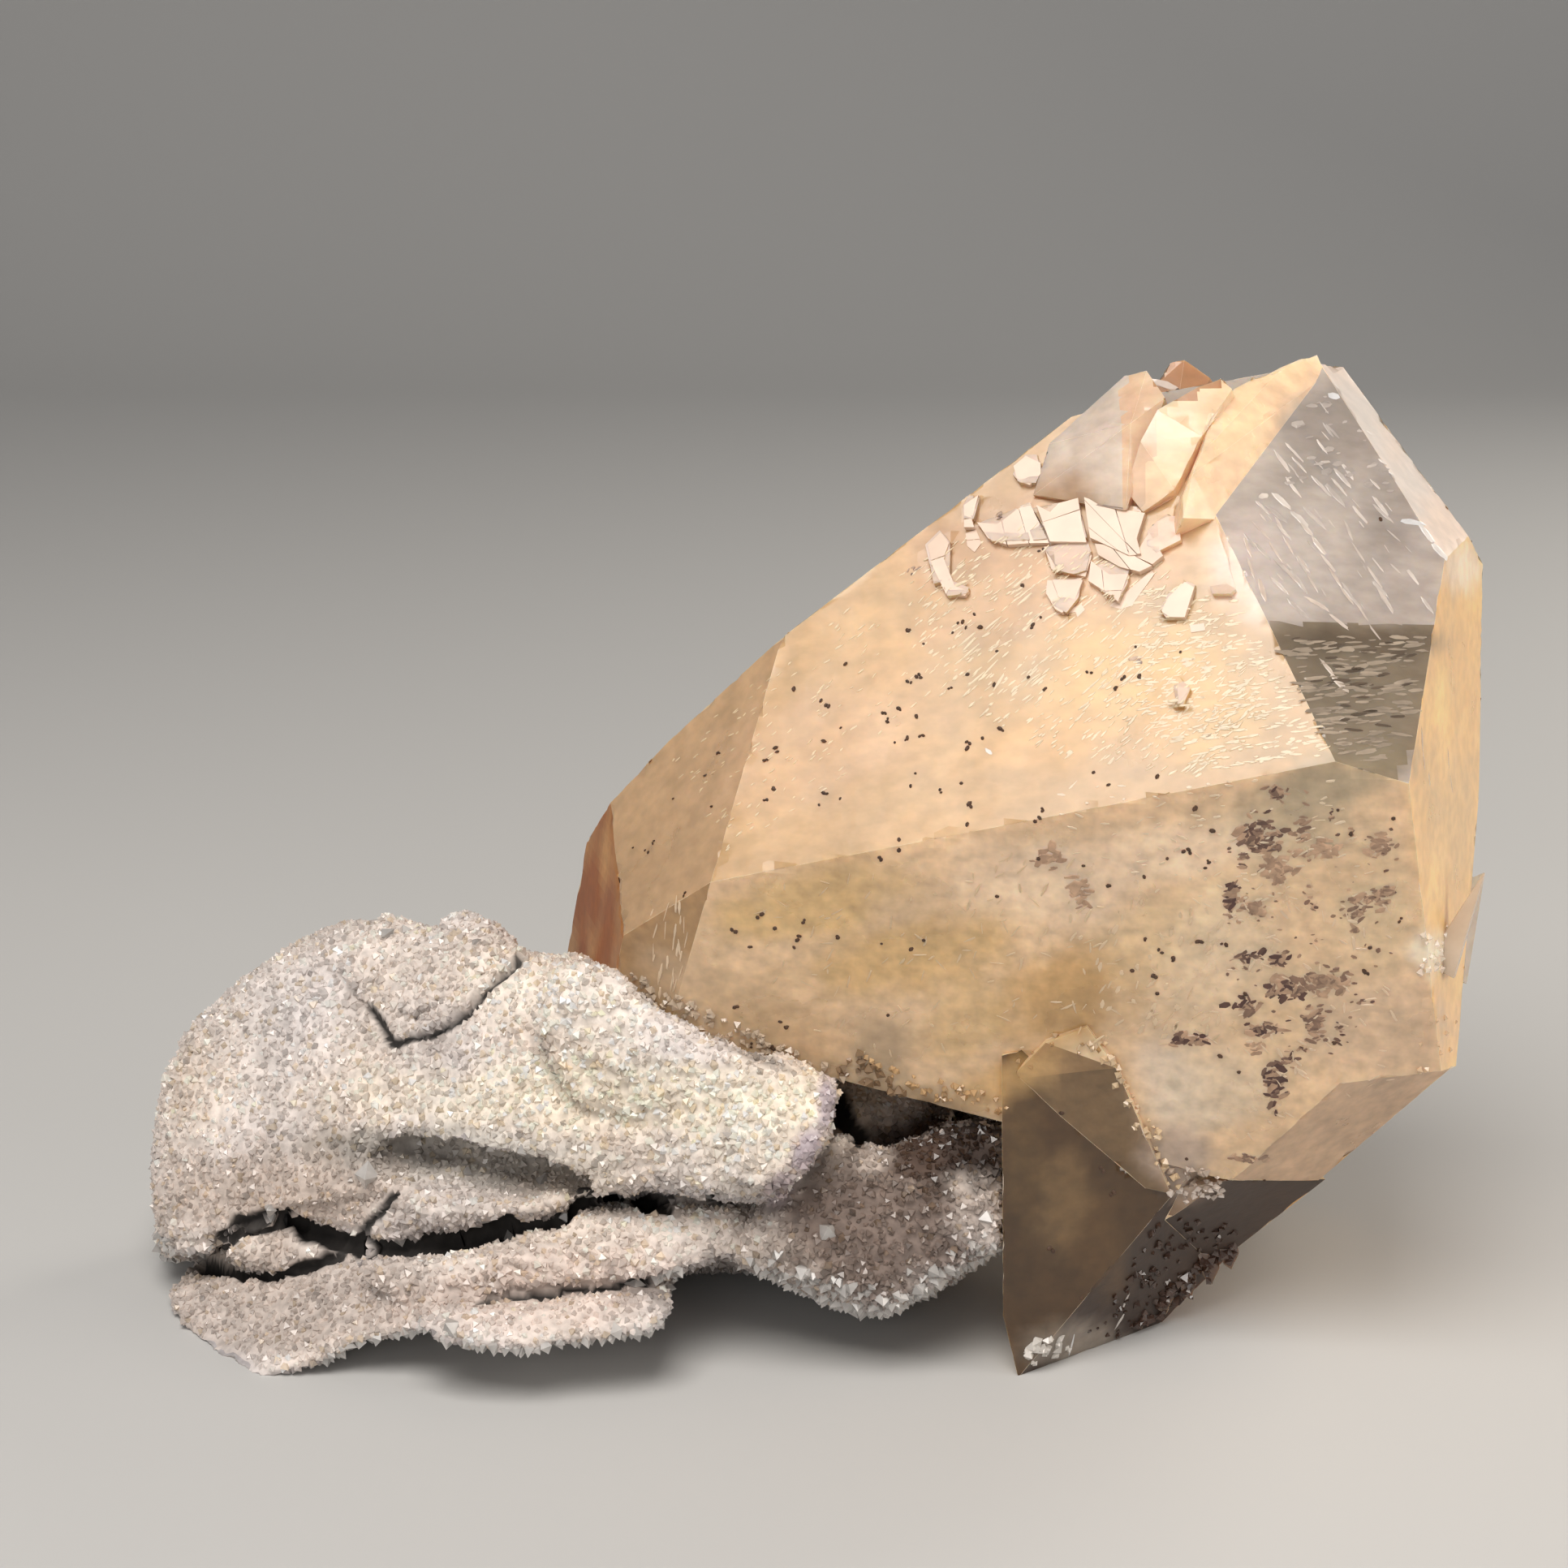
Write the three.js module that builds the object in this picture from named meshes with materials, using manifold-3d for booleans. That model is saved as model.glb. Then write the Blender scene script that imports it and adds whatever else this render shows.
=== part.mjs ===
// A golden calcite specimen: a large clear-to-milky crystal group grown on a slab of layered grey rock.
// Millimetres, +X to the right of the front view, +Y away from the viewer, +Z up, resting on Z = 0.
import * as THREE from 'three';
import { ConvexGeometry } from 'three/addons/geometries/ConvexGeometry.js';
import { mergeVertices } from 'three/addons/utils/BufferGeometryUtils.js';
import Module from 'manifold-3d';

const wasm = await Module();
wasm.setup();

// Driving dimensions
const EYE_DISTANCE = 268; // from the viewpoint to the plane on which the front view is measured
const EYE_TILT = THREE.MathUtils.degToRad(15); // the front view looks down by this much
const AIM = new THREE.Vector3(-2.87, 10, 47.9); // the point that the front view looks at
const GAP = 0.3; // between the crystal group and the rock round its root
const CRYSTAL_BACK = 44; // how far back the large crystal reaches
const ROOT = 2; // how deep the small growths are sunk into the face they grew on
const BLOCK = 240; // the blank that each crystal is cut from

const LOOK = new THREE.Vector3(0, Math.cos(EYE_TILT), -Math.sin(EYE_TILT));
const UP = new THREE.Vector3(0, Math.sin(EYE_TILT), Math.cos(EYE_TILT));
const EYE = AIM.clone().addScaledVector(LOOK, -EYE_DISTANCE);

// The point that shows at `right` and `high` in the front view and lies `deep` behind the front rests.
function seen(right, high, deep) {
  const onPlane = AIM.clone();
  onPlane.x = right;
  onPlane.addScaledVector(UP, high - AIM.dot(UP));
  const ray = onPlane.sub(EYE);
  return EYE.clone().addScaledVector(ray, (deep - EYE.y) / ray.y);
}

// A closed three.js geometry as a solid that can be joined and cut
function solidOf(geometry) {
  const bare = geometry.clone();
  bare.deleteAttribute('normal');
  bare.deleteAttribute('uv');
  const merged = mergeVertices(bare, 1e-3);
  return new wasm.Manifold(new wasm.Mesh({
    numProp: 3,
    vertProperties: merged.attributes.position.array,
    triVerts: new Uint32Array(merged.index.array),
  }));
}

// A solid as a three.js geometry
function geometryOf(solid) {
  const { vertProperties, triVerts } = solid.getMesh();
  const geometry = new THREE.BufferGeometry();
  geometry.setAttribute('position', new THREE.BufferAttribute(new Float32Array(vertProperties), 3));
  geometry.setIndex(new THREE.BufferAttribute(new Uint32Array(triVerts), 1));
  geometry.computeVertexNormals();
  return geometry;
}

// A crystal: a blank cut back to flat faces, each through three points, keeping the side that holds `heart`.
// `grow` moves every face outwards.
function crystal(heart, faces, grow = 0) {
  let solid = solidOf(new THREE.BoxGeometry(BLOCK, BLOCK, BLOCK));
  for (const face of faces) {
    const plane = new THREE.Plane().setFromCoplanarPoints(...face);
    if (plane.distanceToPoint(heart) < 0) plane.negate();
    solid = solid.trimByPlane(plane.normal.toArray(), -plane.constant - grow);
  }
  return solid;
}

// The point that shows at `right` and `high` in the front view and stands `lift` off a plane
function seenOn(plane, right, high, lift) {
  const ray = seen(right, high, 0).sub(EYE);
  return EYE.clone().addScaledVector(ray, (lift - plane.distanceToPoint(EYE)) / plane.normal.dot(ray));
}

// The plane of a face, with its normal towards the viewer
function faceOf(points) {
  const plane = new THREE.Plane().setFromCoplanarPoints(...points);
  return plane.distanceToPoint(EYE) < 0 ? plane.negate() : plane;
}

// Corners of the large crystal
const RIDGE_LEFT = seen(-8.9, 40.8, 1);
const RIDGE_RIGHT = seen(42.4, 50.7, -8);
const WINDOW_LEFT = seen(32.7, 70.7, 7);
const WINDOW_TOP = seen(41.5, 82.3, 18.7);
const WINDOW_RIGHT = seen(51.4, 67.3, 8);
const WINDOW_FOOT = seen(49.1, 52.7, -4.9);
const CHEEK_TOP = seen(-3.3, 58.7, 10.3);
const CHEEK_LEFT = seen(-16.9, 46.7, 16.3);
const CHEEK_FOOT = seen(-16.1, 36.4, 6);
const LOWER_RIGHT = seen(52.1, 25.7, 4);
const CHIN_LEFT = seen(43.2, 24.3, -1.2);
const CHIN_FOOT = seen(34, 16.3, 1.9);

const LARGE_HEART = new THREE.Vector3(20, 25, 45);
const LARGE_FACES = {
  upper_front: [RIDGE_LEFT, RIDGE_RIGHT, WINDOW_LEFT],
  lower_front: [RIDGE_LEFT, RIDGE_RIGHT, seen(15.7, 21.3, 3)],
  window: [RIDGE_RIGHT, WINDOW_LEFT, WINDOW_RIGHT],
  right_strip: [WINDOW_RIGHT, WINDOW_FOOT, seen(54.5, 65.7, 22)],
  right_rim: [WINDOW_TOP, WINDOW_RIGHT, seen(48.8, 74.3, 18)],
  behind_rim: [seen(43.2, 83.2, 22), seen(53.6, 68.5, 20), seen(46.6, 76, 42)],
  cheek: [CHEEK_TOP, RIDGE_LEFT, CHEEK_FOOT],
  under_cheek: [RIDGE_LEFT, CHEEK_FOOT, seen(-10.3, 35.2, 2.6)],
  rusty_side: [CHEEK_LEFT, CHEEK_FOOT, seen(-20.8, 34.3, 28)],
  back_left: [seen(-19.3, 44.8, 24), seen(-20.8, 34.3, 28), seen(-17, 38, CRYSTAL_BACK)],
  shoulder: [seen(-19.3, 44.8, 20), seen(-12.6, 52, 17), seen(-15, 46, 40)],
  top_left: [seen(-12.6, 52, 17), seen(16.1, 75.5, 15.4), seen(6.2, 62, 40)],
  crown: [seen(26.9, 80.6, 16), seen(40.7, 83.5, 19), seen(34, 79, 36)],
  right_side: [seen(54.5, 65.7, 22), seen(53.2, 42.7, 20), seen(50, 50, CRYSTAL_BACK)],
  lower_right_side: [LOWER_RIGHT, seen(53.2, 42, 16), seen(48, 26, 34)],
  behind_chin: [LOWER_RIGHT, seen(41.4, 16.7, 8), seen(44, 23, 38)],
  underside: [seen(8.4, 22.6, 1.9), seen(34, 16.2, 2), seen(12, 26, 40)],
  above_chin: [seen(33.5, 16.3, 2.4), seen(41.6, 16.3, 8), seen(37, 17, 25)],
  back: [seen(0, 50, CRYSTAL_BACK), seen(40, 50, CRYSTAL_BACK - 3), seen(20, 80, CRYSTAL_BACK - 10)],
  back_foot: [seen(0, 25, CRYSTAL_BACK - 2), seen(40, 22, CRYSTAL_BACK - 4), seen(20, 40, CRYSTAL_BACK + 3)],
  back_right: [seen(53, 55, 27), seen(36, 52, CRYSTAL_BACK), seen(46, 20, 32)],
  back_top: [seen(-8, 50, CRYSTAL_BACK - 7), seen(20, 74, CRYSTAL_BACK - 13), seen(14, 56, CRYSTAL_BACK + 1)],
};
const LOWER_RIGHT_FACE = [CHIN_LEFT, CHIN_FOOT, LOWER_RIGHT];
const LEDGE_FACE = [CHIN_LEFT, LOWER_RIGHT, seen(48, 26.2, 30)];
const UPPER_FRONT = faceOf(LARGE_FACES.upper_front);
const LOWER_FRONT = faceOf(LARGE_FACES.lower_front);
const WINDOW = faceOf(LARGE_FACES.window);

function largeCrystal(grow = 0) {
  const faces = Object.values(LARGE_FACES);
  const main = crystal(LARGE_HEART, [...faces, LOWER_RIGHT_FACE], grow);
  const ledge = crystal(LARGE_HEART, [...faces, LEDGE_FACE], grow);
  return main.add(ledge);
}

// The outline of a growth in the front view, as [right, high, lift off the face] at each corner
function lump(face, corners) {
  const points = corners.flatMap(([right, high, lift]) => {
    const tip = seenOn(face, right, high, lift);
    return [tip, tip.clone().addScaledVector(face.normal, -lift - ROOT)];
  });
  return solidOf(new ConvexGeometry(points));
}

// The crystal that stands on its point below the large one, and its head, which overlaps the large one
const FOOT_HEART = new THREE.Vector3(22, 8, 14);
const FOOT_FACES = {
  front: [seen(16.5, 25.4, 1.2), seen(28.7, 15, 2.4), seen(19.4, 1, 0)],
  left: [seen(15.1, 25, 2), seen(15.1, 8, 0), seen(16.5, 12, 16)],
  left_toe: [seen(15.2, 5, 0), seen(16.2, 1, 0), seen(17, 5, 12)],
  right: [seen(28.7, 14.7, 2.4), seen(20.1, 4.6, 0.3), seen(33.4, 9.9, 12)],
  far_right: [seen(33.4, 9.8, 12), seen(24, 1.4, 9), seen(36, 20, 20)],
  back: [seen(20, 4, 12), seen(26, 8, 15), seen(24, 30, 24)],
  top: [seen(16, 27.5, 4), seen(30, 31, 4), seen(24, 34, 24)],
  outer_end: [seen(36, 10, 12), seen(36, 20, 12), seen(35, 15, 20)],
  rest: [new THREE.Vector3(0, 0, 0), new THREE.Vector3(1, 0, 0), new THREE.Vector3(0, 1, 0)],
};
const FOOT_HEAD = [[15.3, 22, 0.5], [15.6, 24.6, 0.7], [18.6, 27.6, 0.5], [22, 28.9, 0.3], [24.4, 25.5, 0.8],
  [28.9, 15.2, 0.8], [16, 18, 0.8]];
// The dark crystal under the lower right corner
const CHIN = [seen(33.5, 16.3, 2.4), seen(41.6, 16.4, 8.2), seen(33.2, 9.9, 11), seen(25.9, 11.3, 4),
  seen(28.7, 15.4, 3), seen(30, 22, 14), seen(38, 20, 20), seen(30, 14, 20)];
// Blades of the comb that hangs from its lower edge, each [right, high, deep]
const COMB = [[33.6, 8.9, 10.4], [32, 7.7, 9.8], [30.2, 6.5, 9.2], [28.2, 5.2, 8.6], [26.2, 4, 8]];
const comb = COMB.map(([right, high, deep]) => solidOf(new ConvexGeometry([
  seen(right + 0.3, high, deep), seen(right + 0.9, high + 1.4, deep + 0.5), seen(right - 0.4, high + 0.5, deep - 0.5),
  seen(right - 1.2, high + 4, deep - 1), seen(right + 0.4, high + 4, deep + 1.5), seen(right - 1.2, high + 4.5, deep + 5),
])));

// The smaller crystals along the broken top edge, from right to left
const FIN = [[32.7, 70.6, -0.2], [41.6, 82.4, -0.2], [40.9, 84.1, 0.3], [39.4, 83.7, 0.8], [37.7, 82.7, 1.3],
  [35.4, 82, 1.6], [34.1, 81.3, 1.7], [32.4, 79.3, 2.1], [31.4, 76, 2.3], [30.7, 74.3, 2.2], [29.9, 72.7, 1.7],
  [29.9, 70.7, 1]];
const ORANGE_WEDGE = [[33.9, 81.3, 0.5], [33, 82.2, 0.9], [31, 81.4, 1.6], [27.8, 79.6, 2.6], [26.4, 77, 2.4],
  [25.2, 73, 1.2], [26.6, 71.2, 0.5], [29.2, 73, 1], [31.4, 77.4, 1.6]];
const CLEAR_WEDGE = [[18.9, 76.8, 0.6], [25.1, 82.4, 0.8], [26.9, 82.8, 1.4], [28.4, 80.6, 2], [25.6, 78.5, 2.8],
  [25.2, 71.4, 1], [17.6, 72.6, 0.4]];
const SIDE_SHARD = [seen(54.7, 41.6, 14), seen(53.2, 32.4, 12), seen(49.2, 35.6, 5), seen(50.3, 39.4, 7),
  seen(51.8, 40.6, 9), seen(52, 36, 24), seen(49, 33, 20)];
const BROWN_TIP = [seen(28.8, 83.5, 22), seen(30, 83.7, 22), seen(32.1, 82.2, 22), seen(33.2, 80.6, 24),
  seen(27.4, 81.4, 21), seen(28.5, 74, 18), seen(32, 74, 26), seen(29.6, 82.6, 30), seen(32.6, 78, 30)];

// Cleavage plates below the broken edge: thin sheets, each an outline in the front view, thickest at the foot
const PLATE_LIFT = 0.6;
const PLATE_TAPER = 0.35;
const PLATES = [
  [[8.7, 68.5], [9.9, 69.7], [10.8, 68.8], [10.3, 67.2], [10.7, 65.6], [9.4, 65.3]],
  [[10, 65.9], [12.3, 65], [12.1, 64.5], [10.5, 64.3]],
  [[11.8, 71.7], [12.3, 72.6], [13.2, 72.4], [12.7, 70.6], [11.9, 70.7]],
  [[13, 70.3], [16.2, 71.5], [16.9, 70.7], [17.3, 68.9], [14.2, 68.8]],
  [[16.5, 71.7], [17.3, 72], [18.7, 69], [17.6, 68.9]],
  [[17.5, 71.5], [21.2, 72.3], [21.5, 70.8], [22, 69.1], [19, 69]],
  [[18.5, 68.2], [20.1, 68.7], [22.1, 68.6], [22.4, 68], [21.9, 66.4], [20.9, 66.1], [19.5, 66.4]],
  [[18.6, 65.1], [19.3, 65.7], [21.6, 65.8], [21.3, 64.2], [20.3, 62.9], [19.3, 63.5]],
  [[22.1, 65.9], [22.7, 67.3], [23.4, 67.3], [25.5, 66.5], [25.3, 65.3], [24.6, 64], [23.2, 64.7]],
  [[21.7, 72.3], [24.3, 71.5], [26.5, 71.6], [26.3, 69.9], [25.5, 68.1], [23.9, 68.3], [22.5, 70]],
  [[26.9, 69.7], [28.5, 71.1], [29.5, 70.8], [29.7, 68.9], [27.7, 67.9], [26.9, 68.4]],
  [[28, 63.2], [28.7, 64.5], [30.2, 65.5], [30.9, 65.2], [29.9, 62.5], [28.5, 62.5]],
  [[29.1, 56.9], [29.9, 57.3], [30.5, 56.7], [29.9, 55.3], [29.3, 55.3]],
  [[32.1, 65.1], [33.5, 65.3], [34.2, 64.9], [33.8, 64.5], [32.3, 64.5]],
  [[15.9, 74.3], [16.9, 75.9], [17.9, 76], [18.3, 74.7], [17.8, 73.6], [16.5, 73.6]],
];
function plate(outline) {
  const heights = outline.map(([, high]) => high);
  const foot = Math.min(...heights);
  const top = Math.max(...heights);
  return lump(UPPER_FRONT, outline.map(([right, high]) => [
    right, high, PLATE_LIFT * (1 - PLATE_TAPER * (high - foot) / (top - foot)),
  ]));
}

const calciteCrystals = wasm.Manifold.union([
  largeCrystal(),
  crystal(FOOT_HEART, Object.values(FOOT_FACES)),
  lump(LOWER_FRONT, FOOT_HEAD),
  solidOf(new ConvexGeometry(CHIN)),
  ...comb,
  lump(WINDOW, FIN),
  lump(UPPER_FRONT, ORANGE_WEDGE),
  lump(UPPER_FRONT, CLEAR_WEDGE),
  solidOf(new ConvexGeometry(SIDE_SHARD)),
  solidOf(new ConvexGeometry(BROWN_TIP)),
  ...PLATES.map(plate),
]);

// Lumpy unevenness between -1 and 1, the same at each run
function cornerValue(i, j, k) {
  const wave = Math.sin(i * 127.1 + j * 311.7 + k * 74.7) * 43758.5453;
  return wave - Math.floor(wave);
}
function unevenness(point, size) {
  const [x, y, z] = [point.x / size, point.y / size, point.z / size];
  const [i, j, k] = [Math.floor(x), Math.floor(y), Math.floor(z)];
  const [a, b, c] = [x - i, y - j, z - k].map((t) => THREE.MathUtils.smoothstep(t, 0, 1));
  const row = (dj, dk) => THREE.MathUtils.lerp(cornerValue(i, j + dj, k + dk), cornerValue(i + 1, j + dj, k + dk), a);
  const sheet = (dk) => THREE.MathUtils.lerp(row(0, dk), row(1, dk), b);
  return THREE.MathUtils.lerp(sheet(0), sheet(1), c) * 2 - 1;
}

// How far a closed outline reaches from `heart` in the direction of `angle`
function reachOf(outline, heart, angle) {
  const [dx, dy] = [Math.cos(angle), Math.sin(angle)];
  let reach = 0;
  outline.forEach(([ax, ay], n) => {
    const [bx, by] = outline[(n + 1) % outline.length];
    const [ex, ey] = [bx - ax, by - ay];
    const [fx, fy] = [ax - heart[0], ay - heart[1]];
    const det = ex * dy - ey * dx;
    const t = (ex * fy - ey * fx) / det;
    const s = (dx * fy - dy * fx) / det;
    if (t > 0 && s > -1e-6 && s < 1 + 1e-6) reach = Math.max(reach, t);
  });
  return reach;
}

// A layer of rock with a given outline in the front view. `rim` gives the depth of the outline as
// [at the heart, per mm to the right, per mm up]; the layer swells by `front` and `back` from there,
// backwards in line with the view or, where `level`, horizontally.
function layer({ outline, heart, rim, front, back, square = 2.6, rough = 0.5, fine = 6, level = false }) {
  const geometry = new THREE.IcosahedronGeometry(1, fine);
  const position = geometry.attributes.position;
  const bearing = new THREE.Vector3();
  for (let n = 0; n < position.count; n += 1) {
    bearing.fromBufferAttribute(position, n);
    const spread = Math.min(1, Math.hypot(bearing.x, bearing.z));
    const angle = spread < 1e-6 ? 0 : Math.round(Math.atan2(-bearing.z, bearing.x) * 1e6) / 1e6;
    const reach = reachOf(outline, heart, angle) * spread;
    const right = heart[0] + reach * Math.cos(angle);
    const high = heart[1] + reach * Math.sin(angle);
    const swell = (1 - Math.min(1, spread) ** square) ** (1 / square) * (bearing.y > 0 ? -front : back);
    const edge = rim[0] + rim[1] * (right - heart[0]) + rim[2] * (high - heart[1]);
    const sideways = level && swell > 0 ? swell : 0;
    const point = seen(right, high, edge + swell - sideways);
    const coarse = rough * (bearing.y < 0 ? 1.8 : 1);
    const push = coarse * (unevenness(point, 8) + 0.5 * unevenness(point, 4)) * (1 - spread ** 4);
    point.copy(seen(right, high, edge + swell - sideways + push));
    position.setXYZ(n, point.x, point.y + sideways, point.z);
  }
  return solidOf(geometry);
}

// A prism through the rock: its outline in the front view, between two depths
function cutThrough(outline, from, to) {
  const shape = new THREE.Shape(outline.map(([x, y]) => new THREE.Vector2(x, y)));
  const geometry = new THREE.ExtrudeGeometry(shape, { depth: to - from, bevelEnabled: false, steps: 1 });
  const position = geometry.attributes.position;
  for (let n = 0; n < position.count; n += 1) {
    const deep = to - position.getZ(n);
    position.setXYZ(n, ...seen(position.getX(n), position.getY(n), deep).toArray());
  }
  return solidOf(geometry);
}

// A rounded mass with half sizes along X, Y and Z, lumpy
function mass(centre, half, rough = 0.8, fine = 5) {
  const geometry = new THREE.IcosahedronGeometry(1, fine);
  const position = geometry.attributes.position;
  const point = new THREE.Vector3();
  for (let n = 0; n < position.count; n += 1) {
    point.fromBufferAttribute(position, n);
    const swell = (Math.abs(point.x) ** 4 + Math.abs(point.y) ** 4 + Math.abs(point.z) ** 4) ** -0.25;
    point.multiplyScalar(0.4 + 0.6 * swell).multiply(half).add(centre);
    const away = point.clone().sub(centre).normalize();
    point.addScaledVector(away, rough * (unevenness(point, 8) + 0.5 * unevenness(point, 4)));
    position.setXYZ(n, ...point.toArray());
  }
  return solidOf(geometry);
}

// The rock: a domed upper layer over thinner ones, with a lobe to the right that reaches under the crystal
const LAYERS = [
  {
    outline: [[-53.5, 9.3], [-54.6, 11.3], [-54.6, 20], [-53.9, 24], [-51.6, 28.7], [-47.9, 32.3], [-44.3, 34.7],
      [-41.6, 36.3], [-39.3, 37.3], [-36.3, 37.5], [-32.9, 36.5], [-30.9, 36.3], [-29.9, 37.5], [-27.9, 37],
      [-24.6, 35.2], [-21.3, 34.5], [-17.9, 34], [-13.9, 30.7], [-9.3, 28], [1.1, 24.3], [1.4, 22], [0.7, 19],
      [-3.9, 14.7], [-12.9, 15], [-20.6, 14.7], [-23.9, 13.1], [-27.9, 12.7], [-33.9, 11.3], [-37.9, 11],
      [-40.6, 12.3], [-45.3, 12.9], [-47.3, 12.3], [-49.3, 10.3]],
    heart: [-26, 23], rim: [11.8, -0.408, 0.56], front: 6, back: 18, rough: 0.8, fine: 11,
  },
  {
    outline: [[-53.6, 7.3], [-47.3, 8.7], [-40.6, 9.9], [-35.3, 10.1], [-30, 9.9], [-27, 8], [-27.6, 5.6],
      [-31.9, 4.5], [-38.6, 2.6], [-44.6, 0.4], [-47, -0.4], [-49, -0.4], [-50.4, 2], [-51.8, 4]],
    heart: [-41, 6], rim: [5.6, -0.52, 1.3], front: 1.6, back: 20, square: 4, level: true,
  },
  {
    outline: [[-38.5, 9.9], [-35.3, 10.1], [-29.9, 10], [-25.9, 11.3], [-20.6, 13.3], [-12.9, 14.3], [-8.6, 14],
      [-4, 13.5], [-4, 10], [-7.3, 9.7], [-10.6, 9.1], [-13.9, 7.9], [-20.6, 7.3], [-27.9, 6.5], [-34, 5.4]],
    heart: [-22, 9.6], rim: [2.5, -0.05, 0.5], front: 3, back: 16, level: true,
  },
  {
    outline: [[-34.5, 4.4], [-31, 5.8], [-27.9, 5.9], [-20.6, 6.7], [-13.9, 7.2], [-12.3, 6.7], [-12.6, 4],
      [-17.9, 3.3], [-23.9, 2.1], [-29.9, 2.7]],
    heart: [-22, 4.6], rim: [-4, 0.02, 1], front: 1.5, back: 20, rough: 0.3, level: true,
  },
  {
    outline: [[-4.6, 14.7], [1.4, 20], [3.4, 19.4], [5.4, 18.7], [11.4, 21], [16, 20.5], [16.5, 12],
      [9.4, 7.7], [5.4, 5.3], [2.1, 6], [-3.9, 8.7], [-7.3, 9.7], [-6, 12.5]],
    heart: [5, 13], rim: [3, 0.05, 0.34], front: 4, back: 20, rough: 0.7,
  },
  {
    outline: [[-22, 33.4], [-17.9, 34], [-13.9, 30.7], [-9.3, 28], [1.1, 24.3], [0.8, 20], [-10, 19], [-20, 23],
      [-24, 30]],
    heart: [-12, 25.4], rim: [2.6, -0.16, 0.2], front: 2.4, back: 8, fine: 5,
  },
  {
    outline: [[-47.5, 12.2], [-42, 11.6], [-36, 10.6], [-36.5, 9.6], [-44, 9.6], [-48, 10]],
    heart: [-42, 10.8], rim: [10.5, -0.2, 0.6], front: 1, back: 12, rough: 0.2, fine: 3,
  },
];
const CORE = [new THREE.Vector3(-18, 26.5, 11.4), new THREE.Vector3(30, 17, 10)];
const REAR_FOOT = [new THREE.Vector3(4, 38, 8), new THREE.Vector3(12, 9, 10)];
const HOLLOW = [seen(-27.5, 17.4, 5.5), new THREE.Vector3(10.5, 6.5, 2.3)];
const CRACKS = [
  { outline: [[-34.9, 30.2], [-33.2, 28.8], [-32, 29.4], [-30, 31], [-26, 33.6], [-24.4, 34.9], [-24.9, 35.2],
    [-27, 33.8], [-30.4, 31.6], [-33, 30.2]], from: 0, to: 17 },
  { outline: [[-14, 15.6], [-8.4, 14.9], [-6.9, 13.8], [-8.6, 14], [-13, 14.6], [-20, 13.5], [-20.2, 14.1]], from: -6, to: 14 },
];

// Planes along which the back of the rock broke, each a point and an outward direction
const BREAKS = [
  [new THREE.Vector3(-46, 33, 20), new THREE.Vector3(-0.55, 0.8, 0.2)],
  [new THREE.Vector3(-28, 40, 20), new THREE.Vector3(0.05, 0.85, 0.5)],
  [new THREE.Vector3(-22, 41, 8), new THREE.Vector3(-0.1, 1, -0.45)],
  [new THREE.Vector3(4, 45, 6), new THREE.Vector3(0.3, 1, 0.1)],
];

let rock = wasm.Manifold.union([...LAYERS.map(layer), mass(...CORE), mass(...REAR_FOOT)])
  .subtract(wasm.Manifold.union([
    mass(...HOLLOW, 0.4, 4),
    ...CRACKS.map(({ outline, from, to }) => cutThrough(outline, from, to)),
    largeCrystal(GAP),
    crystal(FOOT_HEART, Object.values(FOOT_FACES), GAP),
  ]))
  .trimByPlane([0, 0, 1], 0);
for (const [point, outward] of BREAKS) {
  const inward = outward.clone().normalize().negate();
  rock = rock.trimByPlane(inward.toArray(), inward.dot(point));
}

const group = new THREE.Group();

function addNode(name, solid, material) {
  const mesh = new THREE.Mesh(geometryOf(solid), material);
  mesh.name = name;
  group.add(mesh);
}

const calcite = new THREE.MeshStandardMaterial({ color: 0xe8c48c, roughness: 0.2, metalness: 0 });
const limestone = new THREE.MeshStandardMaterial({ color: 0xb9ada2, roughness: 0.85, metalness: 0 });
addNode('calcite_crystals', calciteCrystals, calcite);
addNode('matrix_rock', rock, limestone);

// The origin goes to the middle of the whole specimen, on the ground
const whole = new THREE.Box3().setFromObject(group).getCenter(new THREE.Vector3());
group.children.forEach((mesh) => mesh.geometry.translate(-whole.x, -whole.y, 0));

export default group;
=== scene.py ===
import math

import bmesh
import bpy
import numpy as np
from mathutils import Matrix, Vector, noise
from mathutils.bvhtree import BVHTree


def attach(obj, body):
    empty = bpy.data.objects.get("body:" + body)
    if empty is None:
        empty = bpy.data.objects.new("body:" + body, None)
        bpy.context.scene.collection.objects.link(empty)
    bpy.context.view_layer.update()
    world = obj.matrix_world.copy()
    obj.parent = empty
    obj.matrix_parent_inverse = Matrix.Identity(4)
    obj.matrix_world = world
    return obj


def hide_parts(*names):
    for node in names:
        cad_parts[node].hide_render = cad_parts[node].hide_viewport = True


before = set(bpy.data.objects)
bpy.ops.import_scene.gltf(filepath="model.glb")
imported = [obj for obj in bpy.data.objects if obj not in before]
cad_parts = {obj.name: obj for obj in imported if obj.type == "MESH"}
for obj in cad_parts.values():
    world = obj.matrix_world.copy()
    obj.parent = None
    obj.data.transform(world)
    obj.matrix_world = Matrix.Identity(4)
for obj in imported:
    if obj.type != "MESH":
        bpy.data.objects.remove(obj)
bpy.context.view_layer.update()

# The viewpoint. The specimen is seen a little from above, from about 27 cm away. Small details of the
# pieces are placed where they show in this view, on the surface that shows there, and are given in pixels
# across and down a square picture that is 1932 pixels wide.
MM = 0.001
PICTURE = 1932
PIXELS_PER_MM = 15
SENSOR_WIDTH = 36
EYE_DISTANCE = 268 * MM
LOOK_DOWN = math.radians(15)
EYE = Vector((-1.545, -268.55, 117.26)) * MM
LOOK = Vector((0, math.cos(LOOK_DOWN), -math.sin(LOOK_DOWN)))
RIGHT = Vector((1, 0, 0))
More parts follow.
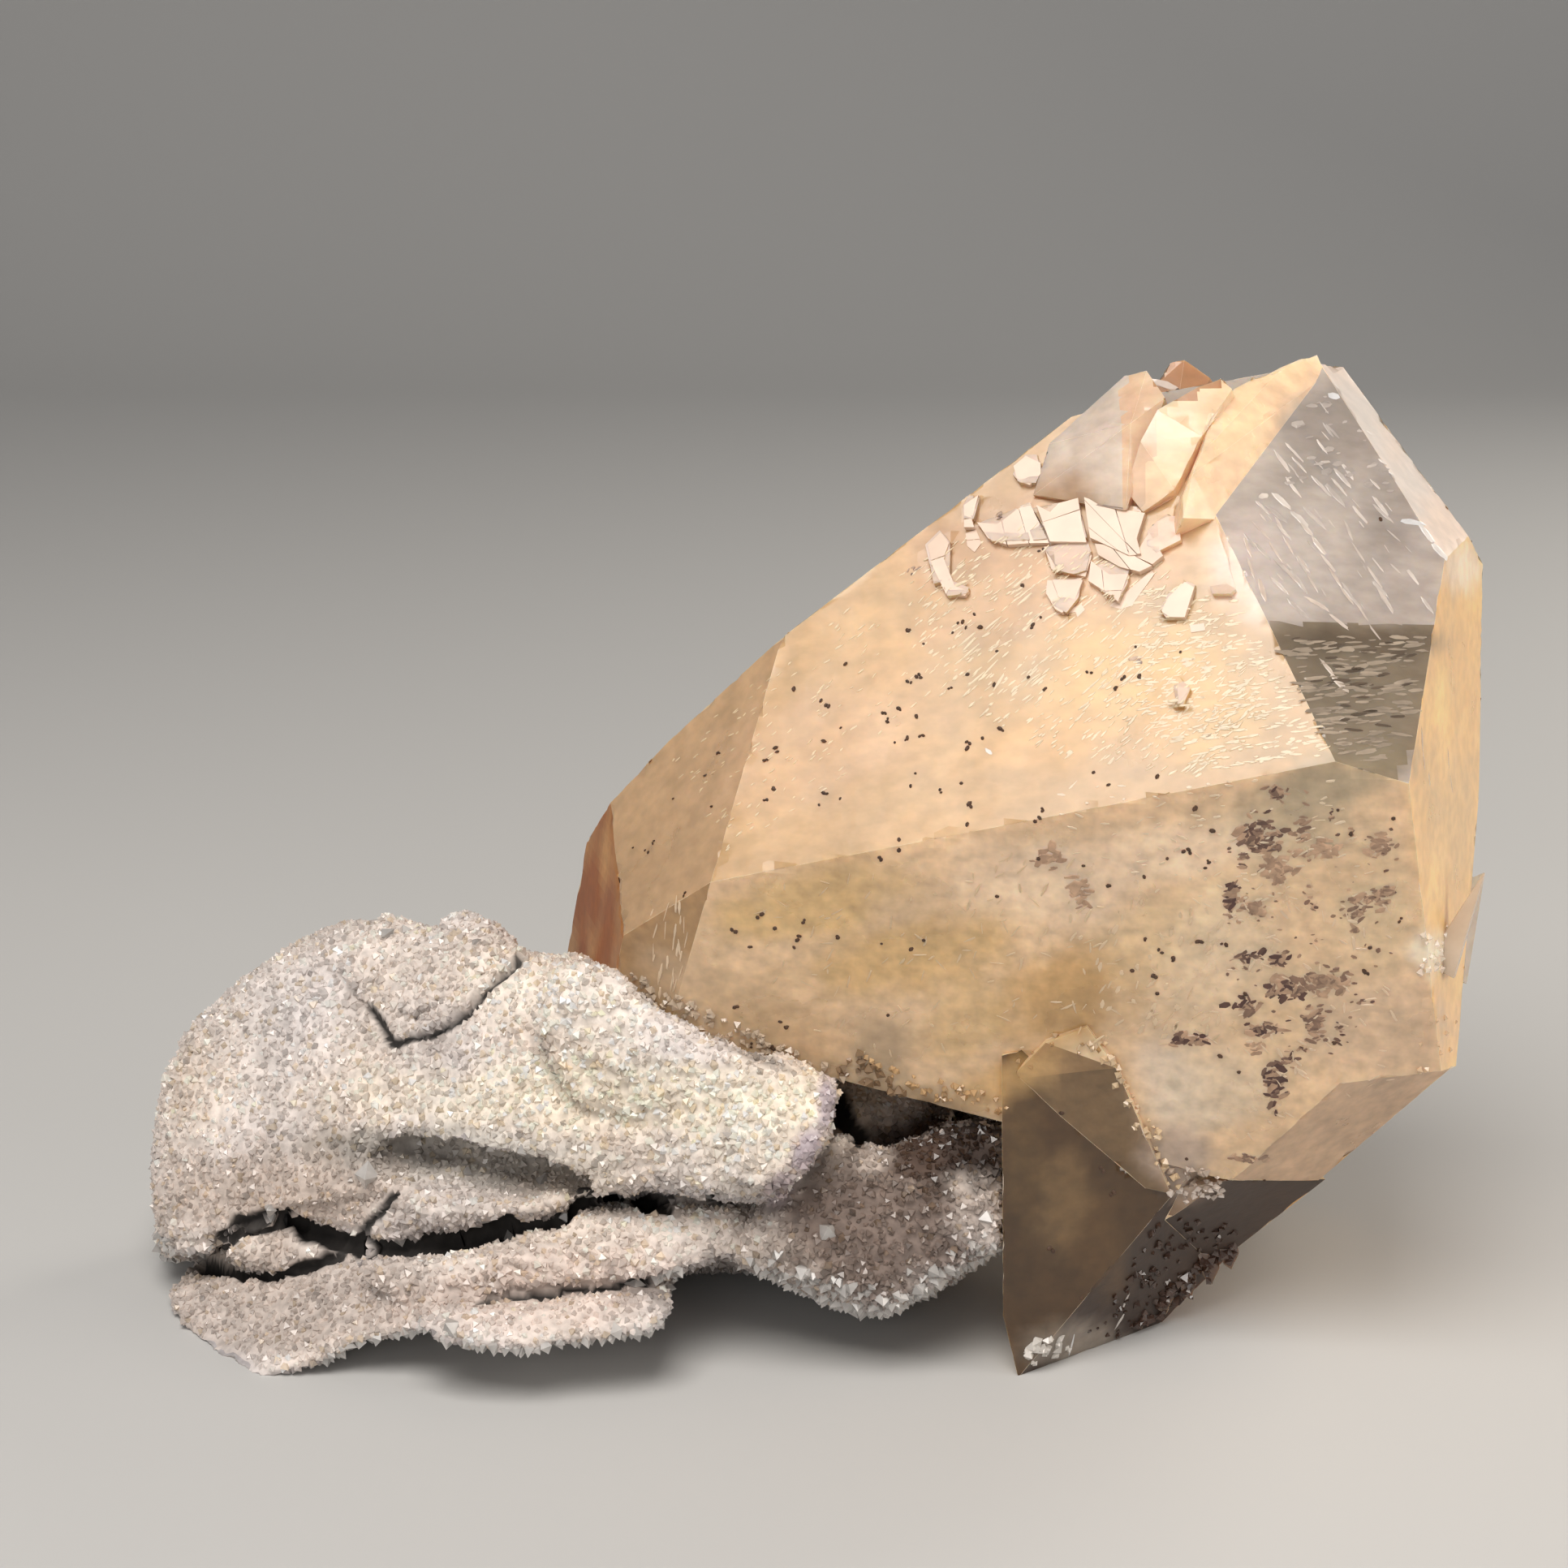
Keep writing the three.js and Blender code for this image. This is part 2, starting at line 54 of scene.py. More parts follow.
UP = Vector((0, math.sin(LOOK_DOWN), math.cos(LOOK_DOWN)))

viewpoint_lens = bpy.data.cameras.new("viewpoint")
viewpoint_lens.sensor_width = SENSOR_WIDTH
viewpoint_lens.lens = SENSOR_WIDTH * EYE_DISTANCE * PIXELS_PER_MM / PICTURE / MM
viewpoint_lens.clip_start = 0.01
viewpoint = bpy.data.objects.new("viewpoint", viewpoint_lens)
viewpoint.location = EYE
viewpoint.rotation_euler = (math.radians(90) - LOOK_DOWN, 0, 0)
bpy.context.collection.objects.link(viewpoint)
bpy.context.scene.camera = viewpoint
bpy.context.scene.view_settings.view_transform = "Standard"

# The rock is a slab of layered grey limestone, split along its beds into a domed upper layer and thinner
# ones below. Its form is that of the solid, and its surface gets the lumps, ledges and pits of a weathered,
# sugary stone. Its colour is a warm pale grey, violet along the fresh break. Painted shade darkens the
# hollow, the cracks, the dents, the undersides, the lower layers and the rock where the crystal shades it,
# and painted light brightens the band that faces up.
ROCK_GRID = 0.4 * MM
ROCK_LUMPS = [(6 * MM, 0.5 * MM), (2.2 * MM, 0.3 * MM), (1.1 * MM, 0.2 * MM)]
BED_THICKNESS = 1.5 * MM
BED_DIRECTION = Vector((-0.14, 0.2, 1)).normalized()
BED_STEP = 0.3 * MM
WELD = 0.004 * MM
DENT_PASSES = 14
DENT_DEEP = 0.4 * MM
CRACK_SHADE_DEPTH = 0.3 * MM
ROCK_COLOUR = (228, 217, 209)
ROCK_TONES_AND_PAINTED_LIGHT = [
    # across, down, half width, half height, lean, colour, strength
    # Painted shade: this row and the next darken the hollow under the overhang.
    (470, 1412, 120, 24, -4, (132, 126, 116), 0.7),
    (640, 1436, 80, 22, 10, (126, 120, 112), 0.6),
    (370, 1470, 130, 36, 0, (184, 166, 152), 0.5),
    # Painted light: this row brightens the band that bulges up towards the lamp.
    (760, 1350, 300, 46, 0, (255, 242, 220), 0.6),
    (930, 1400, 110, 60, 0, (252, 240, 222), 0.5),
    (700, 1240, 120, 50, 20, (255, 244, 232), 0.6),
    (300, 1250, 80, 90, 0, (216, 210, 208), 0.5),
    # Painted light and shade in the hollow: this row lifts its middle, which the overhang shades, and the
    # next darkens its left end.
    (585, 1425, 160, 34, 0, (214, 208, 200), 0.9),
    (470, 1425, 90, 20, 0, (150, 144, 138), 0.7),
    (705, 1450, 60, 26, 0, (220, 210, 198), 0.6),
    (330, 1470, 140, 64, 0, (204, 188, 176), 0.6),
    (1020, 1362, 12, 34, 0, (184, 172, 180), 0.9),
    (992, 1418, 16, 34, 30, (188, 176, 184), 0.9),
    (962, 1466, 16, 26, 30, (184, 172, 178), 0.9),
    # Painted shade: this row and the next darken the lower layers, which the light from above reaches less.
    (350, 1610, 200, 60, -8, (192, 178, 168), 0.7),
    (680, 1590, 160, 50, -6, (226, 208, 198), 0.6),
    # Painted shade: this row and the next three darken the right lobe, the gap and the contact where the
    # crystal shades the rock.
    (1080, 1510, 130, 90, 0, (112, 94, 84), 0.9),
    (1180, 1410, 90, 54, 0, (44, 28, 20), 0.98),
    (1130, 1420, 40, 40, 0, (84, 66, 56), 0.8),
    (1038, 1372, 14, 24, 0, (60, 48, 40), 0.95),
    # Painted shade: this row and the next darken the rock along its contact with the crystal.
    (820, 1240, 40, 8, 28, (130, 122, 112), 0.7),
    (930, 1300, 50, 8, 24, (116, 108, 100), 0.7),
    # Painted shade: this row darkens the shadowed underside of the middle layer.
    (870, 1585, 80, 28, -12, (80, 74, 72), 0.8),
    (830, 1500, 70, 24, 0, (244, 232, 222), 0.7),
    # Painted shade on the lower layer.
    (590, 1590, 60, 20, 0, (190, 174, 164), 0.5),
]
ROCK_SHEETS = [
    # outline of a thin sheet that lies on the rock, its thickness in mm
    ([(452, 1236), (482, 1284), (524, 1272), (566, 1252), (594, 1222), (644, 1178), (600, 1130), (480, 1130),
      (420, 1190)], 0.7),
    ([(272, 1536), (300, 1512), (350, 1510), (412, 1540), (360, 1562), (300, 1566)], 0.9),
    ([(446, 1520), (490, 1478), (620, 1490), (700, 1470), (690, 1500), (560, 1522)], 0.6),
    ([(600, 1590), (700, 1576), (800, 1566), (760, 1520), (620, 1540)], 0.5),
    ([(1000, 1300), (1030, 1330), (1016, 1400), (960, 1470), (900, 1450), (900, 1320)], 0.6),
]
ROCK_CRACKS = [
    # line in the view, half width in pixels, depth in mm
    ([(456, 1242), (470, 1260), (484, 1284)], 5, 0.8),
    ([(484, 1290), (526, 1278), (568, 1258), (598, 1228), (640, 1186)], 3.5, 0.4),
    ([(240, 1548), (300, 1572), (364, 1562), (420, 1548)], 6, 0.8),
    ([(278, 1530), (300, 1508), (350, 1504), (380, 1520), (444, 1536), (500, 1536), (560, 1526),
      (628, 1510)], 10, 1.2),
    ([(628, 1510), (692, 1500), (716, 1480), (760, 1478), (822, 1484)], 6, 0.9),
    ([(444, 1526), (466, 1496), (492, 1474)], 5, 0.6),
    ([(588, 1606), (640, 1596), (692, 1590), (804, 1580)], 3, 0.7),
    ([(872, 1476), (900, 1482)], 4, 0.6),
    ([(196, 1566), (240, 1556), (290, 1566), (340, 1572)], 7, 1.4),
    ([(1036, 1350), (1042, 1380), (1060, 1400)], 9, 0.8),
]


def merged_copy(solid):
    shape = bmesh.new()
    shape.from_mesh(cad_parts[solid].data)
    bmesh.ops.remove_doubles(shape, verts=shape.verts, dist=WELD)
    return shape


def piece_of(shape, name):
    if isinstance(shape, bmesh.types.BMesh):
        mesh = bpy.data.meshes.new(name)
        shape.to_mesh(mesh)
        shape.free()
    else:
        mesh = shape
    piece = bpy.data.objects.new(name, mesh)
    bpy.context.collection.objects.link(piece)
    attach(piece, "root")
    return piece


rock = piece_of(merged_copy("matrix_rock"), "rock")
rock_grid = rock.modifiers.new("even_grid", "REMESH")
rock_grid.mode = "VOXEL"
rock_grid.voxel_size = ROCK_GRID
rock_even = bpy.data.meshes.new_from_object(rock.evaluated_get(bpy.context.evaluated_depsgraph_get()))
rock.modifiers.remove(rock_grid)
rock.data = rock_even


def mesh_arrays(mesh):
    places = np.empty(len(mesh.vertices) * 3)
    mesh.vertices.foreach_get("co", places)
    outward = np.empty(len(mesh.vertices) * 3)
    mesh.vertex_normals.foreach_get("vector", outward)
    return places.reshape(-1, 3), outward.reshape(-1, 3)


def lumpiness(points, size, seed):
    shift = Vector((seed * 17.3, seed * 5.1, seed * 9.7))
    return np.array([noise.noise(Vector(p) / size + shift) for p in points])


rock_places, rock_outward = mesh_arrays(rock_even)
rock_push = np.zeros(len(rock_places))
for seed, (size, height) in enumerate(ROCK_LUMPS):
    rock_push += height * lumpiness(rock_places, size, seed + 1)
bed = rock_places @ np.array(BED_DIRECTION) / BED_THICKNESS + 0.8 * lumpiness(rock_places, 6 * MM, 9)
steep = np.clip(1.3 - 1.5 * np.abs(rock_outward[:, 2]), 0, 1)
rock_push += BED_STEP * steep * (bed - np.floor(bed) - 0.5)


def shows_at(points):
    offset = np.asarray(points) - np.array(EYE)
    scale = PIXELS_PER_MM / MM * EYE_DISTANCE / (offset @ np.array(LOOK))
    return PICTURE / 2 + offset[:, 0] * scale, PICTURE / 2 - offset @ np.array(UP) * scale


def inside_outline(across, down, outline):
    hit = np.zeros(len(across), bool)
    for (ax, ay), (bx, by) in zip(outline, outline[1:] + outline[:1]):
        if ay == by:
            continue
        crosses = (ay > down) != (by > down)
        hit ^= crosses & (across < ax + (down - ay) * (bx - ax) / (by - ay))
    return hit


def facing_eye(places, outward):
    towards = np.array(EYE) - places
    return np.einsum("ij,ij->i", towards, outward) / np.linalg.norm(towards, axis=1)


def nearness(across, down, line, reach):
    nearest = np.full(len(across), np.inf)
    for (ax, ay), (bx, by) in zip(line[:-1], line[1:]):
        share = ((across - ax) * (bx - ax) + (down - ay) * (by - ay)) / ((bx - ax) ** 2 + (by - ay) ** 2)
        share = np.clip(share, 0, 1)
        aside = across - ax - share * (bx - ax)
        below = down - ay - share * (by - ay)
        nearest = np.minimum(nearest, np.hypot(aside, below))
    return np.clip(1.5 - nearest / reach, 0, 1)


def cracked(points, outward):
    across, down = shows_at(points)
    across = across + 6 * lumpiness(points, 2 * MM, 43)
    down = down + 5 * lumpiness(points, 1.5 * MM, 44)
    depth = np.zeros(len(points))
    for line, reach, deep in ROCK_CRACKS:
        depth = np.maximum(depth, nearness(across, down, line, reach) * deep * MM)
    return depth * (facing_eye(points, outward) > -0.1)


rock_across, rock_down = shows_at(rock_places)
for outline, thickness in ROCK_SHEETS:
    on_sheet = inside_outline(rock_across, rock_down, outline) & (facing_eye(rock_places, rock_outward) > 0)
    rock_push += thickness * MM * on_sheet
crack = cracked(rock_places, rock_outward)
rock_push -= crack
rock_places = rock_places + rock_outward * rock_push[:, None]
rock_places[:, 2] = np.maximum(rock_places[:, 2], 0)
rock_even.vertices.foreach_set("co", rock_places.ravel())
rock_even.update()
rock_even.shade_smooth()

# How far each point lies in a dent, from 0 on the humps to 1 in the cracks.
rock_edges = np.empty(len(rock_even.edges) * 2, int)
rock_even.edges.foreach_get("vertices", rock_edges)
rock_edges = rock_edges.reshape(-1, 2)
rock_places, rock_outward = mesh_arrays(rock_even)
rock_count = np.bincount(rock_edges.ravel(), minlength=len(rock_places))[:, None]
calm = rock_places.copy()
for _ in range(DENT_PASSES):
    total = np.zeros_like(calm)
    for k in range(3):
        total[:, k] = np.bincount(rock_edges[:, 0], calm[rock_edges[:, 1], k], len(calm))
        total[:, k] += np.bincount(rock_edges[:, 1], calm[rock_edges[:, 0], k], len(calm))
    calm = total / rock_count
dent = np.clip(np.einsum("ij,ij->i", calm - rock_places, rock_outward) / DENT_DEEP, -1, 1) * 0.5 + 0.5


def linear(red, green, blue):
    shown = np.array([red, green, blue]) / 255
    return np.where(shown < 10 / 255, shown / 12.92, ((shown + 0.055) / 1.055) ** 2.4)


def patched(colours, points, patches, weight):
    across, down = shows_at(points)
    wobble = 0.35 * lumpiness(points, 3 * MM, 41) + 0.2 * lumpiness(points, 1.1 * MM, 42)
    for x, y, wide, high, lean, colour, strength in patches:
        turn = math.radians(lean)
        along = ((across - x) * math.cos(turn) + (down - y) * math.sin(turn)) / wide
        aside = ((down - y) * math.cos(turn) - (across - x) * math.sin(turn)) / high
        share = np.clip(1.6 - np.hypot(along, aside) * 1.1 + wobble, 0, 1)
        share = (strength * weight * share * share * (3 - 2 * share))[:, None]
        colours = colours * (1 - share) + linear(*colour) * share
    return colours


def rock_colour_and_shade_at(points, outward):
    warm = lumpiness(points, 11 * MM, 51)[:, None]
    colours = linear(*ROCK_COLOUR) * (1 + 0.16 * lumpiness(points, 5 * MM, 52)[:, None])
    colours = colours * (1 + warm * np.array([0.05, 0.0, -0.08]))
    # Painted shade: faces that turn downward are darkened, by up to about a third.
    under = np.clip(-outward[:, 2] * 1.2, 0, 1)[:, None] * 0.35
    colours = colours * (1 - under * np.array([1, 0.98, 0.9]))
    return patched(colours, points, ROCK_TONES_AND_PAINTED_LIGHT, np.clip(facing_eye(points, outward) * 4 + 0.6, 0, 1))


def paint(mesh, name, colours):
    values = np.ones((len(colours), 4))
    values[:, :3] = np.clip(colours, 0, 1)
    domain = "POINT" if len(colours) == len(mesh.vertices) else "CORNER"
    mesh.attributes.new(name, "FLOAT_COLOR", domain).data.foreach_set("color", values.ravel())


def node(material, kind, **values):
    made = material.node_tree.nodes.new(kind)
    for name, value in values.items():
        if name in made.inputs:
            made.inputs[name].default_value = value
        else:
            setattr(made, name, value)
    return made


def join(material, source, target):
    material.node_tree.links.new(source, target)


def mineral(name, roughness, ior=1.55):
    material = bpy.data.materials.new(name)
    material.use_nodes = True
    shader = material.node_tree.nodes["Principled BSDF"]
    shader.inputs["Roughness"].default_value = roughness
    shader.inputs["IOR"].default_value = ior
    return material, shader


def remapped(material, source, *limits):
    made = node(material, "ShaderNodeMapRange")
    for name, value in zip(("From Min", "From Max", "To Min", "To Max"), limits):
        made.inputs[name].default_value = value
    join(material, source, made.inputs["Value"])
    return made.outputs["Result"]


def uneven_tint(material, shader, scale, low, high):
    place = node(material, "ShaderNodeTexCoord")
    cloud = node(material, "ShaderNodeTexNoise", Scale=scale, Detail=5)
    join(material, place.outputs["Object"], cloud.inputs["Vector"])
    spread = remapped(material, cloud.outputs["Fac"], 0.3, 0.7, low, high)
    tint = node(material, "ShaderNodeAttribute", attribute_name="tint")
    scaled = node(material, "ShaderNodeVectorMath", operation="SCALE")
    join(material, tint.outputs["Color"], scaled.inputs[0])
    join(material, spread, scaled.inputs["Scale"])
    join(material, scaled.outputs["Vector"], shader.inputs["Base Color"])
    return place, cloud


def bumpy(material, shader, height, strength, distance):
    bump = node(material, "ShaderNodeBump", Strength=strength, Distance=distance)
    join(material, height, bump.inputs["Height"])
    join(material, bump.outputs["Normal"], shader.inputs["Normal"])


# Painted shade: points that lie in dents are darkened.
rock_colour_with_shade = rock_colour_and_shade_at(rock_places, rock_outward) * (1.02 - 0.6 * np.clip(dent - 0.5, 0, 1)[:, None])
# Painted shade: the cracks are darkened almost to black.
rock_colour_with_shade *= (1 - 0.93 * np.clip(crack / CRACK_SHADE_DEPTH, 0, 1))[:, None]
paint(rock_even, "tint", rock_colour_with_shade)
rock_stone, stone_shader = mineral("weathered_limestone", 0.85)
_, stone_cloud = uneven_tint(rock_stone, stone_shader, 1100, 0.72, 1.12)
bumpy(rock_stone, stone_shader, stone_cloud.outputs["Fac"], 0.6, 0.2 * MM)
rock_even.materials.clear()
rock_even.materials.append(rock_stone)
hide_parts("matrix_rock")

# The crust is a sugary coat of tiny blunt crystals that grew all over the rock, most of them just under a
# millimetre across. Each is a blunt four-sided double pyramid, half sunk in the stone. A tenth are amber.
CRUST_SPACING = 0.58 * MM
CRUST_SIZE = (0.6 * MM, 1.1 * MM)
CRUST_PARTS = 4
CRUST_LOWEST = 0.45 * MM
CRUST_CLEARANCE = 0.05 * MM
CRUST_CRACK_LIMIT = 0.15 * MM
CRYSTAL_REACH = 1.5 * MM


def blunt_crystal(length):
    shape = bmesh.new()
    bmesh.ops.create_uvsphere(shape, u_segments=4, v_segments=2, radius=0.5)
    bmesh.ops.scale(shape, vec=(1, 0.8, length), verts=shape.verts)
    bmesh.ops.triangulate(shape, faces=shape.faces)
    bmesh.ops.recalc_face_normals(shape, faces=shape.faces)
    places = np.array([v.co[:] for v in shape.verts])
    faces = np.array([[v.index for v in f.verts] for f in shape.faces])
    shape.free()
    return places, faces


def repeat_shape(name, slot, shape, at, turns, sizes, colours):
    places, faces = shape
    count = len(at)
    corners = np.einsum("nij,kj->nki", turns, places) * sizes[:, None, None] + at[:, None, :]
    rows = (faces[None] + (np.arange(count) * len(places))[:, None, None]).reshape(-1, faces.shape[1])
    mesh = bpy.data.meshes.new(name)
    mesh.from_pydata(corners.reshape(-1, 3).tolist(), [], rows.tolist())
    mesh.update()
    paint(mesh, "tint", np.repeat(colours, len(places), 0))
    return piece_of(mesh, name)


def turns_along(directions, tilt, chance):
    directions = directions + chance.normal(0, tilt, directions.shape)
    directions /= np.linalg.norm(directions, axis=1, keepdims=True)
    sideways = np.cross(directions, chance.normal(0, 1, directions.shape))
    sideways /= np.linalg.norm(sideways, axis=1, keepdims=True)
    return np.stack([sideways, np.cross(directions, sideways), directions], axis=-1)


def scatter_on(mesh, spacing, chance):
    mesh.calc_loop_triangles()
    corners = np.empty(len(mesh.loop_triangles) * 3, int)
    mesh.loop_triangles.foreach_get("vertices", corners)
    corners = corners.reshape(-1, 3)
    places, _ = mesh_arrays(mesh)
    a, b, c = (places[corners[:, k]] for k in range(3))
    cross = np.cross(b - a, c - a)
    area = np.linalg.norm(cross, axis=1) / 2
    tries = int(area.sum() / spacing**2 * 4)
    pick = chance.choice(len(area), tries, p=area / area.sum())
    s, t = chance.random((2, tries))
    flip = s + t > 1
    s, t = np.where(flip, 1 - s, s), np.where(flip, 1 - t, t)
    at = a[pick] + s[:, None] * (b - a)[pick] + t[:, None] * (c - a)[pick]
    outward = (cross / np.maximum(area[:, None] * 2, 1e-15))[pick]
    _, first = np.unique(np.floor(at / spacing).astype(int), axis=0, return_index=True)
    return at[first], outward[first], corners[pick[first]]


chance = np.random.default_rng(7)
crust_at, crust_out, crust_on = scatter_on(rock_even, CRUST_SPACING, chance)
crystal_shape = merged_copy("calcite_crystals")
crystal_tree = BVHTree.FromBMesh(crystal_shape)


def clear_of_crystal(points, margin):
    keep = np.ones(len(points), bool)
    for n, place in enumerate(points):
        near, outward, _, _ = crystal_tree.find_nearest(Vector(place), CRYSTAL_REACH)
        keep[n] = near is None or (Vector(place) - near).dot(outward) > margin
    return keep


crust_dent = dent[crust_on].mean(1)
keep = (crust_at[:, 2] > CRUST_LOWEST) & (chance.random(len(crust_at)) < 1.25 - 0.8 * crust_dent)
keep &= clear_of_crystal(crust_at, CRUST_CLEARANCE) & (crack[crust_on].max(1) < CRUST_CRACK_LIMIT)
crust_at, crust_out = crust_at[keep], crust_out[keep]
coarse = 1 + 0.35 * lumpiness(crust_at, 7 * MM, 61) - 0.12 * np.clip(crust_out[:, 2], 0, 1)
crust_size = chance.uniform(*CRUST_SIZE, len(crust_at)) * coarse
crust_colour = rock_colour_and_shade_at(crust_at, crust_out) * 1.15
glint = np.clip(chance.normal(1.0, 0.16, len(crust_at)), 0.55, 1.45)[:, None]
amber = (chance.random((len(crust_at), 1)) < 0.1) * np.array([-0.06, -0.12, -0.24])
crust_colour = crust_colour * glint * (1 + amber)
crust_turn = turns_along(crust_out, 0.5, chance)


def clear_mineral(name, roughness, ior, clearness, *clouds):
    material, shader = mineral(name, roughness, ior)
    shader.inputs["Transmission Weight"].default_value = clearness
    uneven_tint(material, shader, *clouds)
    return material


crust_crystal = clear_mineral("sugary_crust", 0.15, 1.55, 0.3, 1500, 0.9, 1.1)
grain_shape = blunt_crystal(0.9)
crust_order = np.argsort(crust_at[:, 2])
for n, part in enumerate(np.array_split(crust_order, CRUST_PARTS)):
    grains = (crust_at[part], crust_turn[part], crust_size[part], crust_colour[part])
    crust = repeat_shape(f"crust_{n + 1}", "matrix", grain_shape, *grains)
    crust.data.materials.append(crust_crystal)

# The fringe is a row of larger, ice-clear crystals, one to two millimetres long, that grew on the lower
# edges of the rock's layers and hang from them, with a few more that stand alone in the hollow and on the
# front.
FRINGE_SPACING = 0.9 * MM
FRINGE_SIZE = (0.9 * MM, 1.6 * MM)
FRINGE_LOWEST = 1.3 * MM
FRINGE_CLEARANCE = 0.8 * MM
FRINGE_EDGES = [
    # outlines of the edges that carry the fringe
    [(190, 1560), (250, 1600), (520, 1610), (545, 1640), (400, 1720), (250, 1720)],
    [(520, 1600), (640, 1630), (840, 1560), (860, 1640), (760, 1690), (540, 1680)],
    [(920, 1540), (1230, 1480), (1240, 1600), (1100, 1660), (930, 1600)],
    [(170, 1500), (260, 1520), (260, 1570), (180, 1560)],
]
LONE_CRYSTALS = [
    # across, down, length in mm
    (452, 1448, 2.6),
    (668, 1456, 1.5),
    (575, 1446, 1.3),
    (628, 1526, 1.4),
    (556, 1636, 2.2),
    (1020, 1518, 2.2),
    (694, 1500, 1.3),
    (476, 1152, 1.7),
    (500, 1148, 1.4),
    (587, 1162, 1.2),
    (1215, 1500, 1.6),
    (335, 1500, 1.2),
    (760, 1640, 1.6),
]
fringe_at, fringe_out, _ = scatter_on(rock_even, FRINGE_SPACING, chance)
hanging = (fringe_out[:, 2] < -0.25) & (fringe_out[:, 1] < 0.35) & (fringe_at[:, 2] > FRINGE_LOWEST)
hanging &= clear_of_crystal(fringe_at, FRINGE_CLEARANCE)
fringe_across, fringe_down = shows_at(fringe_at)
shown_fringe = np.zeros(len(fringe_at), bool)
for outline in FRINGE_EDGES:
    shown_fringe |= inside_outline(fringe_across, fringe_down, outline)
on_back = (facing_eye(fringe_at, fringe_out) < -0.2) & (chance.random(len(fringe_at)) < 0.25)
hanging &= (shown_fringe & (facing_eye(fringe_at, fringe_out) > -0.5)) | on_back
fringe_at, fringe_out = fringe_at[hanging], fringe_out[hanging]
fringe_size = chance.uniform(*FRINGE_SIZE, len(fringe_at))
rock_shape = bmesh.new()
rock_shape.from_mesh(rock_even)
rock_tree = BVHTree.FromBMesh(rock_shape)
rock_shape.free()


def sight_line(across, down):
    right = (across - PICTURE / 2) / PIXELS_PER_MM * MM
    high = (PICTURE / 2 - down) / PIXELS_PER_MM * MM
    return (LOOK * EYE_DISTANCE + RIGHT * right + UP * high).normalized()


for across, down, length in LONE_CRYSTALS:
    place, outward, _, _ = rock_tree.ray_cast(EYE, sight_line(across, down))
    if place is not None:
        fringe_at = np.vstack([fringe_at, place])
        fringe_out = np.vstack([fringe_out, outward])
        fringe_size = np.append(fringe_size, length * MM)
fringe_colour = linear(220, 216, 212) * chance.uniform(0.8, 1.1, (len(fringe_at), 1))
fringe_turn = turns_along(fringe_out, 0.35, chance)
icicles = (fringe_at, fringe_turn, fringe_size, fringe_colour)
fringe = repeat_shape("fringe", "matrix", blunt_crystal(1.15), *icicles)
fringe.data.materials.append(clear_mineral("icy_fringe", 0.14, 1.55, 0.35, 900, 0.85, 1.1))

# The golden crystals grew together as one body. Flat faces meet at sharp, slightly worn edges. The body is
# a milky honey colour, rusty on the left, and clear in the top right corner and in the small tips. Painted
# light: the narrow right strip is bright orange for light shining through it, and the worn edges are pale
# partly as highlights. Painted shade lies where the crystal meets the rock and just below the clear corner.
EDGE_WEAR = 0.14 * MM
FACE_GRID = 0.9 * MM
FACE_WAVE = 0.05 * MM
EDGE_CHIPS = 0.35 * MM
RUST_TOP = 60 * MM
SAME_PLANE = 0.9995
FACE_DEPTH = 0.25 * MM
FLAT_ANGLE = math.radians(0.6)
SHARP_ANGLE = math.radians(9)
WORN_LENGTH = 3 * MM
STREAK_LEAN = math.radians(38)
STREAK_SCALE = (420, 800, 900)
WINDOW_LINE = ((1560, 765), (1775, 770))
BODY = ((240, 212, 172), 0.18, 0.34)
GROWTHS = [
    # outline of a growth with several faces, its colour, clearness and roughness
    ([(1500, 465), (1640, 430), (1640, 466), (1500, 645), (1495, 722), (1440, 680), (1450, 600)],
     (255, 218, 178), 0.06, 0.26),
    ([(1398, 640), (1420, 520), (1500, 455), (1520, 490), (1462, 640), (1420, 690)],
     (255, 220, 184), 0.1, 0.24),
    ([(1385, 450), (1435, 450), (1430, 520), (1400, 650), (1372, 640)], (255, 216, 184), 0.25, 0.18),
    ([(1245, 650), (1290, 540), (1385, 455), (1384, 640)], (250, 232, 216), 0.3, 0.16),
    ([(1420, 470), (1440, 435), (1480, 435), (1510, 470), (1440, 500)], (206, 156, 118), 0.25, 0.24),
    ([(1750, 1090), (1835, 1070), (1815, 1210), (1760, 1200)], (246, 230, 212), 0.4, 0.12),
    ([(1436, 1462), (1530, 1440), (1540, 1490), (1450, 1520)], (150, 124, 98), 0.25, 0.2),
    ([(1340, 1650), (1420, 1540), (1530, 1520), (1540, 1600), (1400, 1700)], (100, 76, 62), 0.35, 0.2),
]
FACES = [
    # a point that shows on a flat face, the colour of that face, its clearness and roughness
    ((1200, 850), (209, 173, 128), 0.08, 0.3),
    ((1150, 1150), (230, 198, 160), 0.12, 0.28),
    ((850, 1020), (204, 170, 132), 0.14, 0.28),
    ((850, 1130), (180, 144, 102), 0.18, 0.3),
    ((735, 1090), (160, 86, 16), 0.05, 0.5),
    ((1650, 640), (224, 212, 202), 0.4, 0.14),
    # Painted light: this face gets a bright orange that stands in for light shining through the narrow
    # strip.
    ((1790, 800), (255, 206, 140), 0.02, 0.3),
    ((1715, 560), (202, 176, 156), 0.15, 0.36),
    ((1650, 1380), (208, 176, 144), 0.2, 0.3),
    ((1380, 1400), (122, 98, 68), 0.14, 0.3),
    ((1330, 1300), (150, 120, 84), 0.14, 0.3),
    ((1310, 1550), (84, 62, 36), 0.35, 0.18),
    ((1400, 1590), (54, 36, 24), 0.1, 0.5),
    ((1500, 1520), (54, 36, 24), 0.1, 0.5),
]
GRAINY_POINTS = [
    (1150, 1150), (1380, 1400), (1330, 1300), (1310, 1550), (1400, 1590), (1500, 1520), (1650, 1380),
    (850, 1130),
]
